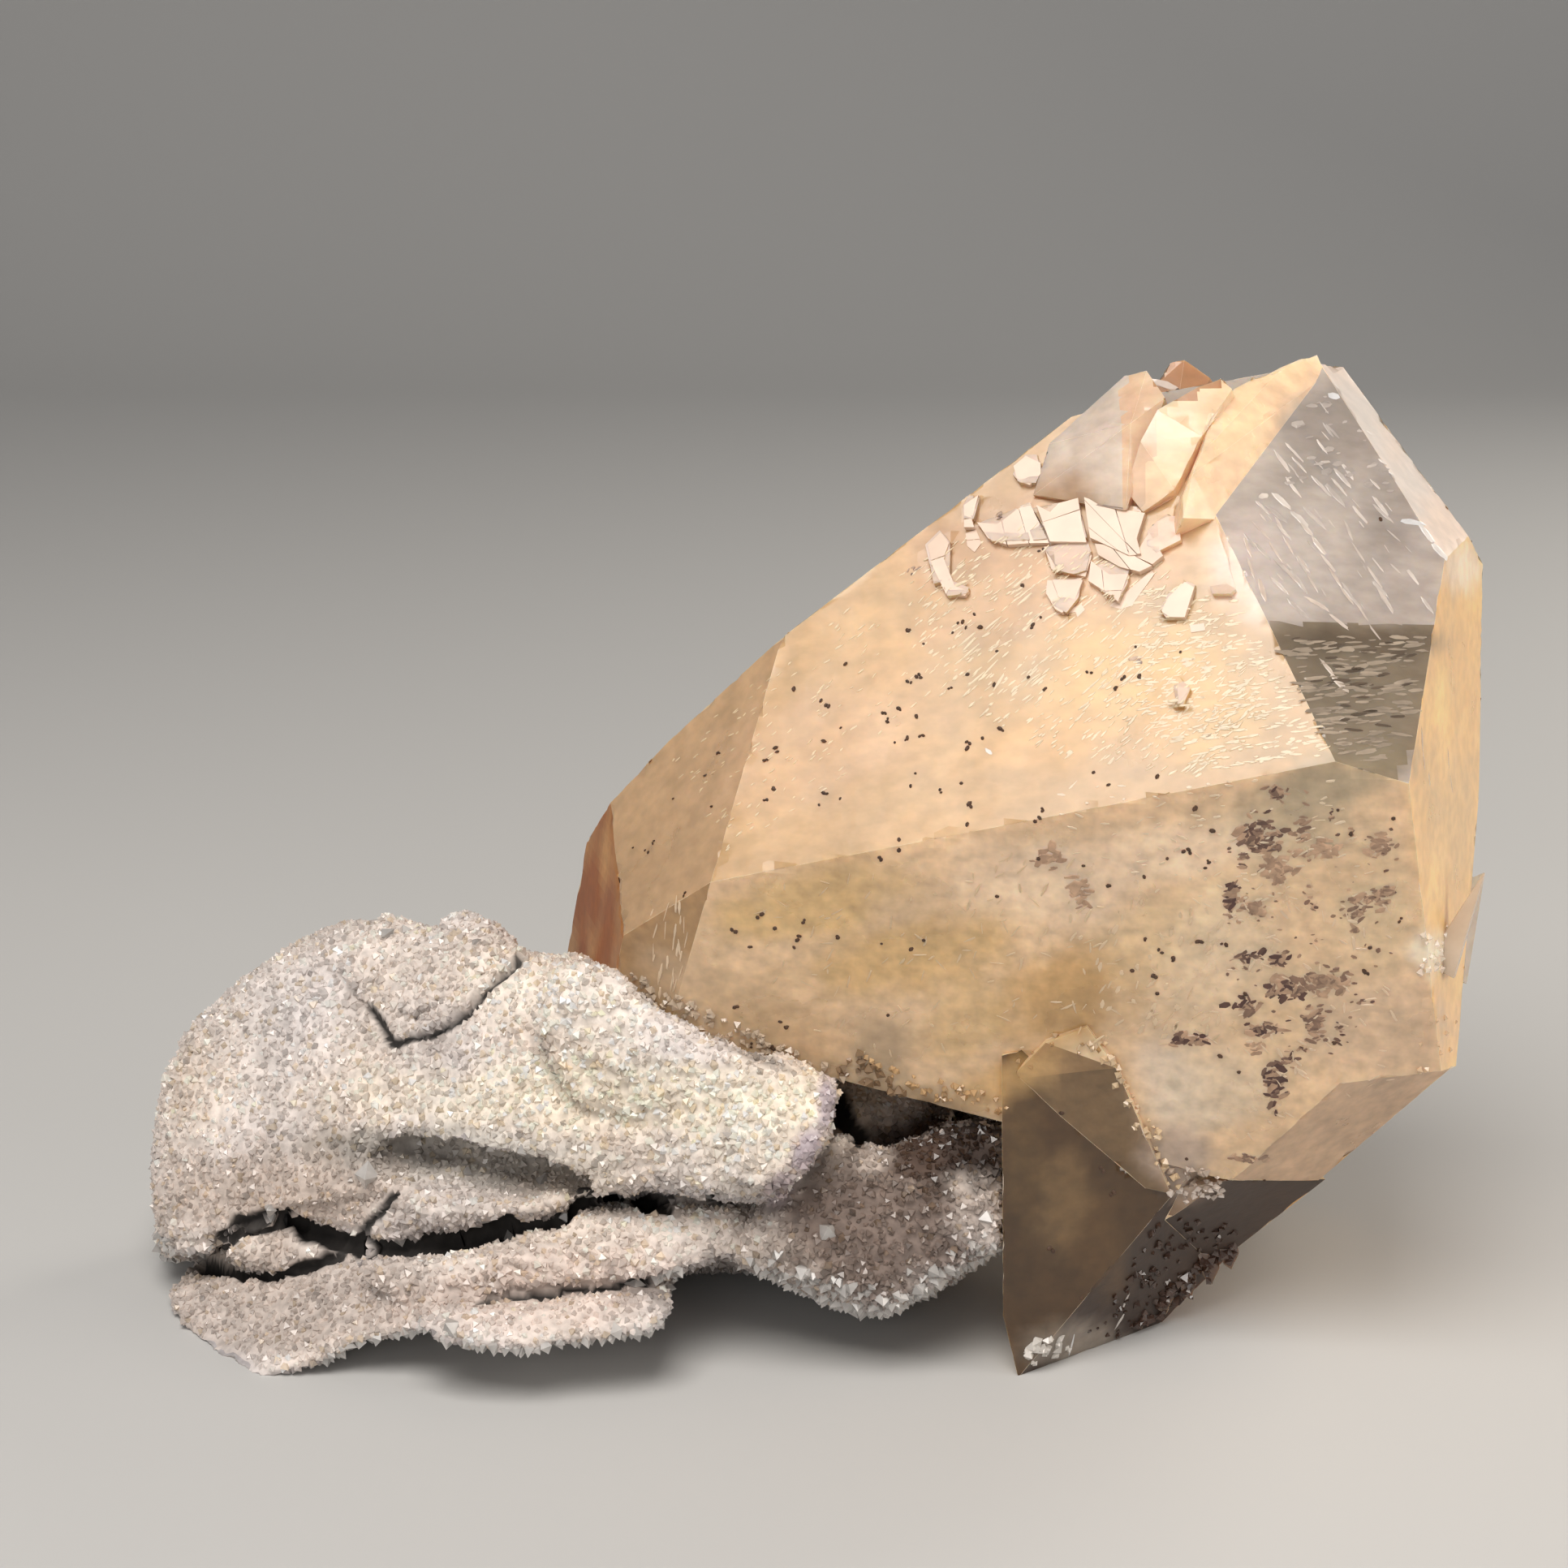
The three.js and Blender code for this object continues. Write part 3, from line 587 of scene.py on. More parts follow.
SMOOTH_POINTS = [(1650, 640), (1790, 800), (1715, 560)]
WINDOW_POINT = (1650, 640)
RUST_POINT = (735, 1090)
WINDOW_BELOW_LINE = [(1500, 768), (1785, 770), (1745, 915), (1710, 965), (1640, 948)]
PLATE_POINT = (1200, 850)
PLATE_OUTLINE = [
    (1130, 640), (1240, 560), (1290, 560), (1250, 640), (1420, 640), (1462, 620), (1470, 700),
    (1530, 700), (1530, 740), (1480, 790), (1480, 890), (1430, 890), (1400, 790), (1130, 790),
]
CALCITE_TONES_AND_PAINTED_SHADE = [
    # across, down, half width, half height, lean, colour, strength
    (1400, 840, 110, 70, 0, (230, 190, 132), 0.8),
    (1480, 870, 70, 60, 0, (230, 186, 122), 0.8),
    (1010, 920, 150, 70, -20, (224, 186, 150), 0.5),
    (1180, 680, 60, 50, -35, (200, 156, 114), 0.8),
    (1290, 650, 70, 60, -20, (206, 164, 124), 0.85),
    (1380, 690, 80, 60, -20, (222, 182, 144), 0.8),
    (1250, 740, 110, 40, -20, (216, 174, 132), 0.7),
    (1690, 790, 90, 20, 2, (108, 94, 78), 0.7),
    (1340, 910, 130, 34, -8, (226, 180, 122), 0.5),
    (1430, 1050, 130, 34, -8, (248, 220, 190), 0.7),
    (1290, 1090, 110, 50, 10, (244, 216, 186), 0.7),
    (1000, 1110, 120, 40, -10, (226, 190, 132), 0.8),
    (1120, 1180, 130, 40, -10, (212, 176, 120), 0.8),
    (1420, 1160, 90, 44, -30, (232, 202, 160), 0.8),
    (1310, 1230, 80, 56, -30, (198, 158, 102), 0.85),
    (1500, 1180, 60, 80, 20, (240, 216, 184), 0.6),
    (1190, 1260, 60, 40, -30, (216, 182, 128), 0.6),
    # Painted shade: this row greys the top of the lower front just below the clear corner.
    (1640, 965, 100, 34, -20, (164, 150, 124), 0.8),
    (1600, 1010, 80, 40, 0, (200, 180, 150), 0.5),
    (830, 1210, 70, 34, 20, (206, 178, 146), 0.7),
    (930, 1240, 90, 34, 20, (214, 184, 146), 0.7),
    (1235, 1335, 60, 26, -20, (224, 184, 124), 0.7),
    # Painted shade: this row darkens the lower edge of the crystal where it meets the rock.
    (1120, 1370, 90, 30, 8, (146, 122, 92), 0.8),
    (1085, 1300, 34, 44, -30, (180, 156, 126), 0.7),
    (1262, 1420, 24, 90, 0, (112, 88, 54), 0.7),
    (1350, 1520, 40, 70, -20, (104, 78, 46), 0.6),
    (1452, 1420, 40, 50, -30, (186, 166, 150), 0.9),
    (1440, 1330, 34, 60, -30, (226, 206, 186), 0.8),
    (1480, 1340, 70, 50, 0, (230, 212, 186), 0.6),
    (1700, 1270, 90, 60, 0, (212, 184, 156), 0.6),
    (1700, 1130, 60, 60, 0, (232, 206, 166), 0.5),
    (1762, 1172, 26, 24, 0, (255, 240, 216), 0.9),
    (1535, 690, 50, 50, 0, (246, 230, 222), 0.6),
    (1650, 530, 60, 70, -55, (176, 166, 158), 0.8),
    (1720, 620, 34, 80, 30, (180, 170, 162), 0.7),
    (1700, 740, 60, 30, 0, (206, 194, 184), 0.5),
    (1590, 720, 70, 34, -30, (238, 226, 216), 0.7),
    (1590, 590, 40, 26, -30, (196, 186, 176), 0.6),
    (1800, 700, 26, 30, 0, (255, 236, 216), 0.7),
    (1790, 1010, 40, 90, 0, (238, 200, 146), 0.7),
    (1330, 1660, 60, 30, 0, (180, 168, 154), 0.5),
    (1310, 1480, 30, 60, 10, (150, 122, 84), 0.5),
]

bmesh.ops.dissolve_limit(
    crystal_shape, angle_limit=FLAT_ANGLE, verts=crystal_shape.verts, edges=crystal_shape.edges
)
bmesh.ops.triangulate(crystal_shape, faces=[f for f in crystal_shape.faces if len(f.verts) > 4])
worn_and_highlit_layer = crystal_shape.faces.layers.int.new("worn")
sharp = [
    e
    for e in crystal_shape.edges
    if len(e.link_faces) == 2 and e.calc_face_angle(0) > SHARP_ANGLE and e.calc_length() > WORN_LENGTH
]
worn = bmesh.ops.bevel(
    crystal_shape,
    geom=sharp,
    offset=EDGE_WEAR,
    offset_type="OFFSET",
    affect="EDGES",
    segments=1,
    profile=0.5,
    material=-1,
    clamp_overlap=True,
)
for face in worn["faces"]:
    face[worn_and_highlit_layer] = 1
cuts = [(EYE, sight_line(*WINDOW_LINE[0]).cross(sight_line(*WINDOW_LINE[1])))]
for k in range(3):
    low = min(v.co[k] for v in crystal_shape.verts)
    high = max(v.co[k] for v in crystal_shape.verts)
    axis = Vector([float(j == k) for j in range(3)])
    cuts += [(axis * at, axis) for at in np.arange(low + FACE_GRID, high, FACE_GRID)]
for place, direction in cuts:
    bmesh.ops.bisect_plane(
        crystal_shape,
        geom=crystal_shape.verts[:] + crystal_shape.edges[:] + crystal_shape.faces[:],
        dist=1e-7,
        plane_co=place,
        plane_no=direction,
    )
crystal_shape.normal_update()
crystal_tree = BVHTree.FromBMesh(crystal_shape)
crystal_shape.verts.index_update()
on_edge = np.zeros(len(crystal_shape.verts), bool)
for edge in crystal_shape.edges:
    if len(edge.link_faces) == 2 and edge.calc_face_angle(0) > SHARP_ANGLE:
        on_edge[[v.index for v in edge.verts]] = True
face_out = np.array([f.normal[:] for f in crystal_shape.faces])
centres = np.array([f.calc_center_median()[:] for f in crystal_shape.faces])
worn_and_highlit_faces = np.array([f[worn_and_highlit_layer] for f in crystal_shape.faces], bool)
face_areas = np.array([f.calc_area() for f in crystal_shape.faces])
calcite = piece_of(crystal_shape, "calcite_group")
calcite_mesh = calcite.data


def on_face_of(point):
    hit, outward, _, _ = crystal_tree.ray_cast(EYE, sight_line(*point))
    off = (centres - np.array(hit)) @ np.array(outward)
    leaning = face_out @ np.array(outward)
    return (leaning > SAME_PLANE) & (np.abs(off) < FACE_DEPTH), off, leaning


def finish_faces(zone, colour, clearness, roughness):
    face_colour[zone] = linear(*colour)
    face_clear[zone] = clearness
    face_rough[zone] = roughness


across, down = shows_at(centres)
seen = facing_eye(centres, face_out) > 0
face_colour = np.tile(linear(*BODY[0]), (len(centres), 1))
face_clear = np.full(len(centres), BODY[1])
face_rough = np.full(len(centres), BODY[2])
rust = np.clip(1.4 * lumpiness(centres, 13 * MM, 21) - 0.1, 0, 1)
rust = (rust * np.clip(1.2 - centres[:, 2] / RUST_TOP, 0, 1) * ~seen)[:, None]
face_colour = face_colour * (1 - rust) + linear(196, 126, 64) * rust
clear_corner = np.clip((centres[:, 0] / MM + centres[:, 2] / MM - 88) / 14, 0, 1) * ~seen
face_clear += 0.5 * clear_corner
face_rough -= 0.15 * clear_corner
for outline, colour, clearness, roughness in GROWTHS:
    finish_faces(seen & inside_outline(across, down, outline), colour, clearness, roughness)
for point, colour, clearness, roughness in FACES:
    finish_faces(on_face_of(point)[0], colour, clearness, roughness)
rusty = on_face_of(RUST_POINT)[0]
fade = (0.7 * np.clip(0.3 + 1.2 * lumpiness(centres[rusty], 5 * MM, 22), 0, 1))[:, None]
face_colour[rusty] = face_colour[rusty] * (1 - fade) + linear(206, 158, 100) * fade
face_grain = np.full(len(centres), 0.3)
face_grain[~seen] = 0.6
for point in GRAINY_POINTS:
    face_grain[on_face_of(point)[0]] = 1
for point in SMOOTH_POINTS:
    face_grain[on_face_of(point)[0]] = 0.12
below_line = on_face_of(WINDOW_POINT)[0] & inside_outline(across, down, WINDOW_BELOW_LINE)
finish_faces(below_line, (154, 140, 120), 0.3, 0.16)
_, height, leaning = on_face_of(PLATE_POINT)
plates = (height > 0.1 * MM) & (leaning > 0.9) & inside_outline(across, down, PLATE_OUTLINE)
face_colour[plates] = linear(232, 200, 178)
face_rough[plates] = 0.35
# The bevelled edge faces are painted paler: partly frosted wear, partly painted highlight along the edges.
face_colour[worn_and_highlit_faces] = face_colour[worn_and_highlit_faces] * 0.5 + linear(252, 236, 214) * 0.5
face_rough[worn_and_highlit_faces] = 0.45

corner_of = np.empty(len(calcite_mesh.loops), int)
calcite_mesh.loops.foreach_get("vertex_index", corner_of)
corner_count = np.empty(len(centres), int)
calcite_mesh.polygons.foreach_get("loop_total", corner_count)
vertex_places, vertex_outward = mesh_arrays(calcite_mesh)
streaky = lumpiness(vertex_places, 9 * MM, 31) * 0.08 + lumpiness(vertex_places, 3.5 * MM, 32) * 0.06
corner_colour = np.repeat(face_colour, corner_count, 0) * (1 + streaky[corner_of])[:, None]
patch_weight = np.repeat((seen & ~plates).astype(float), corner_count)
corner_colour = patched(corner_colour, vertex_places[corner_of], CALCITE_TONES_AND_PAINTED_SHADE, patch_weight)
paint(calcite_mesh, "tint", corner_colour)
for name, values in (("clear", face_clear), ("rough", face_rough), ("grainy", face_grain)):
    layer = calcite_mesh.attributes.new(name, "FLOAT", "CORNER")
    layer.data.foreach_set("value", np.repeat(values, corner_count).astype(np.float32))
chips = np.clip(lumpiness(vertex_places, 1.6 * MM, 33) - 0.05, 0, 1) * EDGE_CHIPS * on_edge
wave = lumpiness(vertex_places, 4 * MM, 34) * FACE_WAVE * ~on_edge
vertex_places = vertex_places + vertex_outward * (wave - chips)[:, None]
vertex_places[:, 2] = np.maximum(vertex_places[:, 2], 0)
calcite_mesh.vertices.foreach_set("co", vertex_places.ravel())
calcite_mesh.update()
calcite_mesh.shade_smooth()
calcite_mesh.set_sharp_from_angle(angle=math.radians(8))

honey, honey_shader = mineral("honey_calcite", 0.3, 1.6)
honey_place, honey_cloud = uneven_tint(honey, honey_shader, 120, 0.86, 1.1)


def maths(material, operation, *terms):
    made = node(material, "ShaderNodeMath", operation=operation)
    for place, term in enumerate(terms):
        if isinstance(term, float):
            made.inputs[place].default_value = term
        else:
            join(material, term, made.inputs[place])
    return made.outputs[0]


honey_clear, honey_rough, honey_grainy = [
    node(honey, "ShaderNodeAttribute", attribute_name=name).outputs["Fac"]
    for name in ("clear", "rough", "grainy")
]
join(honey, honey_clear, honey_shader.inputs["Transmission Weight"])
honey_less = maths(honey, "SUBTRACT", honey_rough, 0.1)
honey_gloss = maths(honey, "MULTIPLY_ADD", honey_cloud.outputs["Fac"], 0.22, honey_less)
join(honey, honey_gloss, honey_shader.inputs["Roughness"])
honey_stretch = node(honey, "ShaderNodeMapping", Rotation=(0, STREAK_LEAN, 0), Scale=STREAK_SCALE)
join(honey, honey_place.outputs["Object"], honey_stretch.inputs["Vector"])
honey_streak = node(honey, "ShaderNodeTexNoise", Scale=1, Detail=3)
join(honey, honey_stretch.outputs["Vector"], honey_streak.inputs["Vector"])
honey_fine = node(honey, "ShaderNodeTexNoise", Scale=900, Detail=2)
join(honey, honey_place.outputs["Object"], honey_fine.inputs["Vector"])
honey_grain = remapped(honey, honey_streak.outputs["Fac"], 0.35, 0.65, -0.09, 0.07)
honey_about = maths(honey, "SUBTRACT", honey_fine.outputs["Fac"], 0.5)
honey_sandy = maths(honey, "MULTIPLY", honey_about, honey_grainy)
honey_mottle = maths(honey, "MULTIPLY_ADD", honey_sandy, 0.6, honey_grain)
honey_streaked = node(honey, "ShaderNodeVectorMath", operation="SCALE")
join(honey, honey_shader.inputs["Base Color"].links[0].from_socket, honey_streaked.inputs[0])
join(honey, maths(honey, "ADD", honey_mottle, 0.985), honey_streaked.inputs["Scale"])
join(honey, honey_streaked.outputs["Vector"], honey_shader.inputs["Base Color"])
honey_ridges = maths(honey, "MULTIPLY", honey_streak.outputs["Fac"], honey_grainy)
honey_relief = maths(honey, "MULTIPLY_ADD", honey_sandy, 1.6, honey_ridges)
bumpy(honey, honey_shader, honey_relief, 0.22, 0.14 * MM)
honey_shader.inputs["Subsurface Weight"].default_value = 0.5
honey_shader.inputs["Subsurface Radius"].default_value = (1.0, 0.6, 0.3)
honey_shader.inputs["Subsurface Scale"].default_value = 2 * MM
honey_depth = node(honey, "ShaderNodeVolumeAbsorption", Density=16)
honey_depth.inputs["Color"].default_value = (1.0, 0.88, 0.70, 1)
join(honey, honey_depth.outputs["Volume"], honey.node_tree.nodes["Material Output"].inputs["Volume"])
calcite_mesh.materials.clear()
calcite_mesh.materials.append(honey)
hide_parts("calcite_crystals")

# Etch marks are thin scales of paler calcite that stand a few hundredths of a millimetre off the faces. On
# the front they lie in one direction, from lower left to upper right, and turn level and crowd together
# towards the clear corner. The sides away from the viewpoint carry a thin scatter of them.
ETCH_FIELDS = [
    # outline, number, lean and its spread in degrees, length range in mm, width in mm, colour
    ([(1110, 690), (1250, 640), (1420, 690), (1500, 760), (1560, 860), (1480, 960), (1300, 930),
      (1150, 850)], 760, 39, 6, (0.4, 1.3), 0.16, (252, 232, 196)),
    ([(1130, 690), (1250, 700), (1420, 740), (1420, 860), (1200, 840)], 60, 40, 5, (1.2, 2.6), 0.2,
     (252, 232, 196)),
    ([(1400, 720), (1520, 740), (1590, 850), (1640, 930), (1480, 950), (1400, 880)],
     400, 8, 6, (0.4, 1.7), 0.2, (252, 232, 196)),
    ([(820, 930), (1110, 690), (1150, 850), (1000, 1000), (900, 1060)], 160, 40, 8, (0.4, 1.0), 0.14,
     (250, 228, 190)),
    ([(1300, 960), (1640, 960), (1700, 1100), (1500, 1120), (1300, 1060)], 120, 5, 20, (0.3, 1.1), 0.2,
     (240, 220, 190)),
    ([(800, 1120), (860, 1110), (850, 1210), (800, 1230)], 26, 80, 6, (0.8, 2.2), 0.2, (240, 216, 184)),
    ([(900, 1100), (1300, 1040), (1500, 1120), (1500, 1290), (1000, 1300)], 150, 50, 40, (0.5, 1.8), 0.16,
     (228, 204, 168)),
    ([(1300, 1130), (1520, 1120), (1500, 1300), (1380, 1290)], 50, 70, 25, (0.6, 1.6), 0.3, (236, 212, 178)),
    ([(1500, 1120), (1720, 1100), (1730, 1330), (1540, 1400), (1480, 1300)], 90, -30, 50, (0.5, 1.6), 0.22,
     (238, 214, 184)),
]
HIDDEN_ETCH_MARKS = 900
ETCH_LEAN = 39
ETCH_THICKNESS = 0.06 * MM
ETCH_CORNERS = 6


def add_scale(shape, at, outward, lean, length, width, thickness, corners):
    shown_along = RIGHT * math.cos(lean) + UP * math.sin(lean)
    along = (shown_along - LOOK * (shown_along.dot(outward) / LOOK.dot(outward))).normalized()
    aside = outward.cross(along)
    one = bmesh.new()
    cone = bmesh.ops.create_cone(one, cap_ends=True, segments=corners, radius1=0.5, radius2=0.36, depth=1)
    for v in cone["verts"]:
        v.co.x += chance.uniform(-0.08, 0.08)
        v.co.y += chance.uniform(-0.12, 0.12)
    lay = Matrix((along * length, aside * width, outward * thickness)).transposed().to_4x4()
    lay.translation = at
    bmesh.ops.transform(one, matrix=lay, verts=cone["verts"])
    one_mesh = bpy.data.meshes.new("one_scale")
    one.to_mesh(one_mesh)
    one.free()
    shape.from_mesh(one_mesh)
    bpy.data.meshes.remove(one_mesh)


def points_within(outline, count):
    xs, ys = zip(*outline)
    found = []
    while len(found) < count:
        x, y = chance.uniform(min(xs), max(xs)), chance.uniform(min(ys), max(ys))
        if inside_outline(np.array([x]), np.array([y]), outline)[0]:
            found.append((x, y))
    return found


def hidden_places(count):
    share = face_areas * ~seen * (centres[:, 2] > 6 * MM)
    chosen = chance.choice(len(centres), count, p=share / share.sum())
    return [(Vector(centres[k]), Vector(face_out[k])) for k in chosen]


etch_shape = bmesh.new()
etch_tints = []
for outline, count, lean, spread, lengths, width, colour in ETCH_FIELDS:
    for point in points_within(outline, count):
        at, outward, _, _ = crystal_tree.ray_cast(EYE, sight_line(*point))
        turn = math.radians(lean + chance.normal(0, spread))
        length = chance.uniform(*lengths) * MM
        if outward.x < 0.7:
            wide = width * MM * chance.uniform(0.6, 1.6)
            add_scale(etch_shape, at, outward, turn, length, wide, ETCH_THICKNESS, ETCH_CORNERS)
            etch_tints.extend([linear(*colour)] * (len(etch_shape.verts) - len(etch_tints)))
for at, outward in hidden_places(HIDDEN_ETCH_MARKS):
    turn = math.radians(ETCH_LEAN + chance.normal(0, 12))
    length = chance.uniform(0.4, 1.2) * MM
    wide = length * chance.uniform(0.25, 0.5)
    add_scale(etch_shape, at, outward, turn, length, wide, 0.7 * ETCH_THICKNESS, ETCH_CORNERS)
etch_tints.extend([linear(226, 196, 150)] * (len(etch_shape.verts) - len(etch_tints)))
etch_marks = piece_of(etch_shape, "etch_marks")
paint(etch_marks.data, "tint", np.array(etch_tints))
etch_marks.data.materials.append(clear_mineral("pale_scales", 0.3, 1.6, 0.3, 500, 0.85, 1.05))

# Small crystals of the same calcite sit where the big faces end: along the contact with the rock, at the
# head of the foot, under its tip and on the shard at the right. A few hundred of them make one piece.
GRAIN_FIELDS = [
    # outline, number, size range in mm, colour
    ([(690, 1186), (780, 1200), (870, 1244), (960, 1284), (1036, 1320), (1044, 1350), (860, 1275),
      (700, 1210)], 170, (0.5, 1.1), (214, 194, 170)),
    ([(1010, 1330), (1050, 1290), (1100, 1330), (1130, 1372), (1060, 1372)],
     70, (0.6, 1.3), (158, 130, 100)),
    ([(1060, 1300), (1130, 1350), (1240, 1372), (1240, 1350), (1130, 1325)],
     40, (0.4, 1.0), (214, 178, 132)),
    ([(1240, 1300), (1300, 1265), (1345, 1275), (1360, 1300), (1290, 1300), (1250, 1340)],
     8, (0.4, 0.8), (190, 156, 110)),
    ([(1345, 1262), (1400, 1340), (1462, 1450), (1446, 1480), (1400, 1396), (1338, 1284)],
     44, (0.4, 1.1), (226, 200, 164)),
    ([(1340, 1640), (1430, 1500), (1520, 1500), (1525, 1550), (1400, 1660)], 130, (0.4, 1.1), (70, 48, 36)),
    ([(1436, 1470), (1500, 1452), (1510, 1474), (1440, 1486)], 22, (0.5, 1.0), (224, 210, 198)),
    ([(1380, 1640), (1480, 1550), (1524, 1530), (1530, 1560), (1440, 1630)], 60, (0.6, 1.5), (88, 66, 56)),
    ([(1262, 1654), (1316, 1648), (1320, 1680), (1270, 1692)], 30, (0.6, 1.5), (236, 230, 222)),
    ([(1440, 1440), (1500, 1440), (1510, 1470), (1450, 1476)], 18, (0.5, 1.1), (200, 182, 166)),
    ([(1745, 1150), (1790, 1140), (1785, 1200), (1750, 1200)], 26, (0.5, 1.1), (255, 240, 222)),
    ([(1750, 1250), (1800, 1240), (1792, 1310), (1740, 1330)], 12, (0.4, 0.9), (236, 206, 170)),
]
grain_at = []
grain_out = []
grain_sizes = []
grain_colours = []
for outline, count, sizes, colour in GRAIN_FIELDS:
    for point in points_within(outline, count):
        at, outward, _, _ = crystal_tree.ray_cast(EYE, sight_line(*point))
        if at is None or sizes[1] * MM / 2 > at.z:
            continue
        grain_at.append(at)
        grain_out.append(outward)
        grain_sizes.append(chance.uniform(*sizes) * MM)
        grain_colours.append(linear(*colour) * chance.uniform(0.88, 1.08))
grain_turns = turns_along(np.array(grain_out), 0.45, chance)
grains = (np.array(grain_at), grain_turns, np.array(grain_sizes), np.array(grain_colours))
small_crystals = repeat_shape("small_crystals", "calcite", blunt_crystal(0.9), *grains)
small_crystals.data.materials.append(clear_mineral("small_calcite", 0.16, 1.6, 0.3, 700, 0.85, 1.1))

# Cleavage plates are thin pale sheets that have partly come away from the front below the small tips. Each
# is rooted in the crystal, stands up to 0.75 mm over it, and is split along straight cracks, like crazed
# glaze, with tan ground showing between the parts.
PLATE_SHEETS = [
    # outline, cracks that cross it
    ([(1254, 626), (1270, 622), (1293, 669), (1267, 670), (1241, 672), (1217, 664), (1203, 643),
      (1229, 645)],
     [((1254, 622), (1269, 673)), ((1234, 640), (1241, 673))]),
    ([(1276, 622), (1293, 631), (1305, 619), (1329, 613), (1333, 640), (1339, 668), (1293, 668)],
     [((1281, 645), (1335, 626))]),
    ([(1286, 673), (1342, 671), (1346, 685), (1338, 711), (1314, 707), (1295, 702)],
     [((1293, 671), (1319, 709)), ((1305, 671), (1342, 707))]),
    ([(1290, 714), (1335, 714), (1323, 744), (1309, 756), (1300, 751), (1288, 730)],
     [((1295, 711), (1312, 758))]),
    ([(1344, 690), (1366, 707), (1391, 707), (1378, 742), (1366, 732), (1340, 716)],
     [((1357, 692), (1361, 737)), ((1366, 728), (1390, 727))]),
    ([(1142, 671), (1159, 655), (1170, 669), (1163, 688), (1177, 723), (1194, 728), (1189, 734), (1165, 732),
      (1149, 699)],
     [((1144, 692), (1170, 683))]),
    ([(1439, 735), (1460, 716), (1472, 723), (1460, 761), (1441, 761), (1430, 754)], []),
    ([(1348, 669), (1378, 672), (1404, 688), (1420, 697), (1404, 705), (1380, 699), (1352, 683)],
     [((1366, 669), (1394, 704))]),
    ([(1335, 612), (1378, 626), (1411, 631), (1401, 664), (1406, 683), (1392, 685), (1342, 662)],
     [((1335, 645), (1390, 688)), ((1373, 622), (1387, 669)), ((1342, 622), (1401, 683))]),
    ([(1416, 655), (1434, 685), (1420, 696), (1397, 685), (1411, 662)], []),
    ([(1187, 622), (1206, 609), (1198, 640), (1201, 650), (1187, 650)], [((1184, 640), (1201, 638))]),
    ([(1189, 657), (1203, 652), (1210, 669), (1201, 681), (1191, 673)], [((1189, 666), (1210, 664))]),
    ([(1248, 574), (1264, 561), (1283, 570), (1283, 584), (1269, 598), (1253, 593)], []),
    ([(1366, 747), (1392, 725), (1420, 702), (1423, 707), (1394, 747), (1380, 751)], []),
    ([(1295, 758), (1333, 744), (1338, 751), (1328, 761), (1326, 754)], []),
    ([(1465, 770), (1484, 767), (1486, 777), (1467, 780)], []),
]
PLATE_THICKNESS = 0.9 * MM
PLATE_RISE = 0.7 * MM
PLATE_GAP = 0.06 * MM
PLATE_PROUD = 0.05 * MM
PLATE_LIFT = 0.02
plate_ground, outward, _, _ = crystal_tree.ray_cast(EYE, sight_line(*PLATE_POINT))
plate_shape = bmesh.new()
for outline, cracks in PLATE_SHEETS:
    rays = [sight_line(*corner) for corner in outline]
    hits = [crystal_tree.ray_cast(EYE, ray)[0] for ray in rays]
    heights = [(hit - plate_ground).dot(outward) for hit in hits if hit is not None]
    at = plate_ground + outward * (min(max(heights), PLATE_RISE) + PLATE_PROUD)
    sheet_shape = bmesh.new()
    corners = [EYE + ray * ((at - EYE).dot(outward) / ray.dot(outward)) for ray in rays]
    sheet_shape.faces.new([sheet_shape.verts.new(corner) for corner in corners])
    for start, end in cracks:
        bmesh.ops.bisect_plane(
            sheet_shape,
            geom=sheet_shape.verts[:] + sheet_shape.edges[:] + sheet_shape.faces[:],
            dist=1e-7,
            plane_co=EYE,
            plane_no=sight_line(*start).cross(sight_line(*end)),
        )
    bmesh.ops.split_edges(sheet_shape, edges=[e for e in sheet_shape.edges if len(e.link_faces) == 2])
    for face in sheet_shape.faces:
        centre = face.calc_center_median()
        lift = Vector(chance.normal(0, PLATE_LIFT, 3))
        for v in face.verts:
            v.co += (centre - v.co).normalized() * PLATE_GAP + outward * lift.dot(v.co - centre)
    bmesh.ops.solidify(sheet_shape, geom=sheet_shape.faces[:], thickness=-PLATE_THICKNESS)
    bmesh.ops.recalc_face_normals(sheet_shape, faces=sheet_shape.faces[:])
    sheet_mesh = bpy.data.meshes.new("sheet")
    sheet_shape.to_mesh(sheet_mesh)
    plate_shape.from_mesh(sheet_mesh)
    bpy.data.meshes.remove(sheet_mesh)


def one_tint(piece, colour):
    paint(piece.data, "tint", np.tile(linear(*colour), (len(piece.data.vertices), 1)))


plate_pile = piece_of(plate_shape, "cleavage_plates")
one_tint(plate_pile, (242, 214, 190))
plate_pile.data.materials.append(clear_mineral("cleavage_plate", 0.32, 1.6, 0.15, 420, 0.86, 1.04))

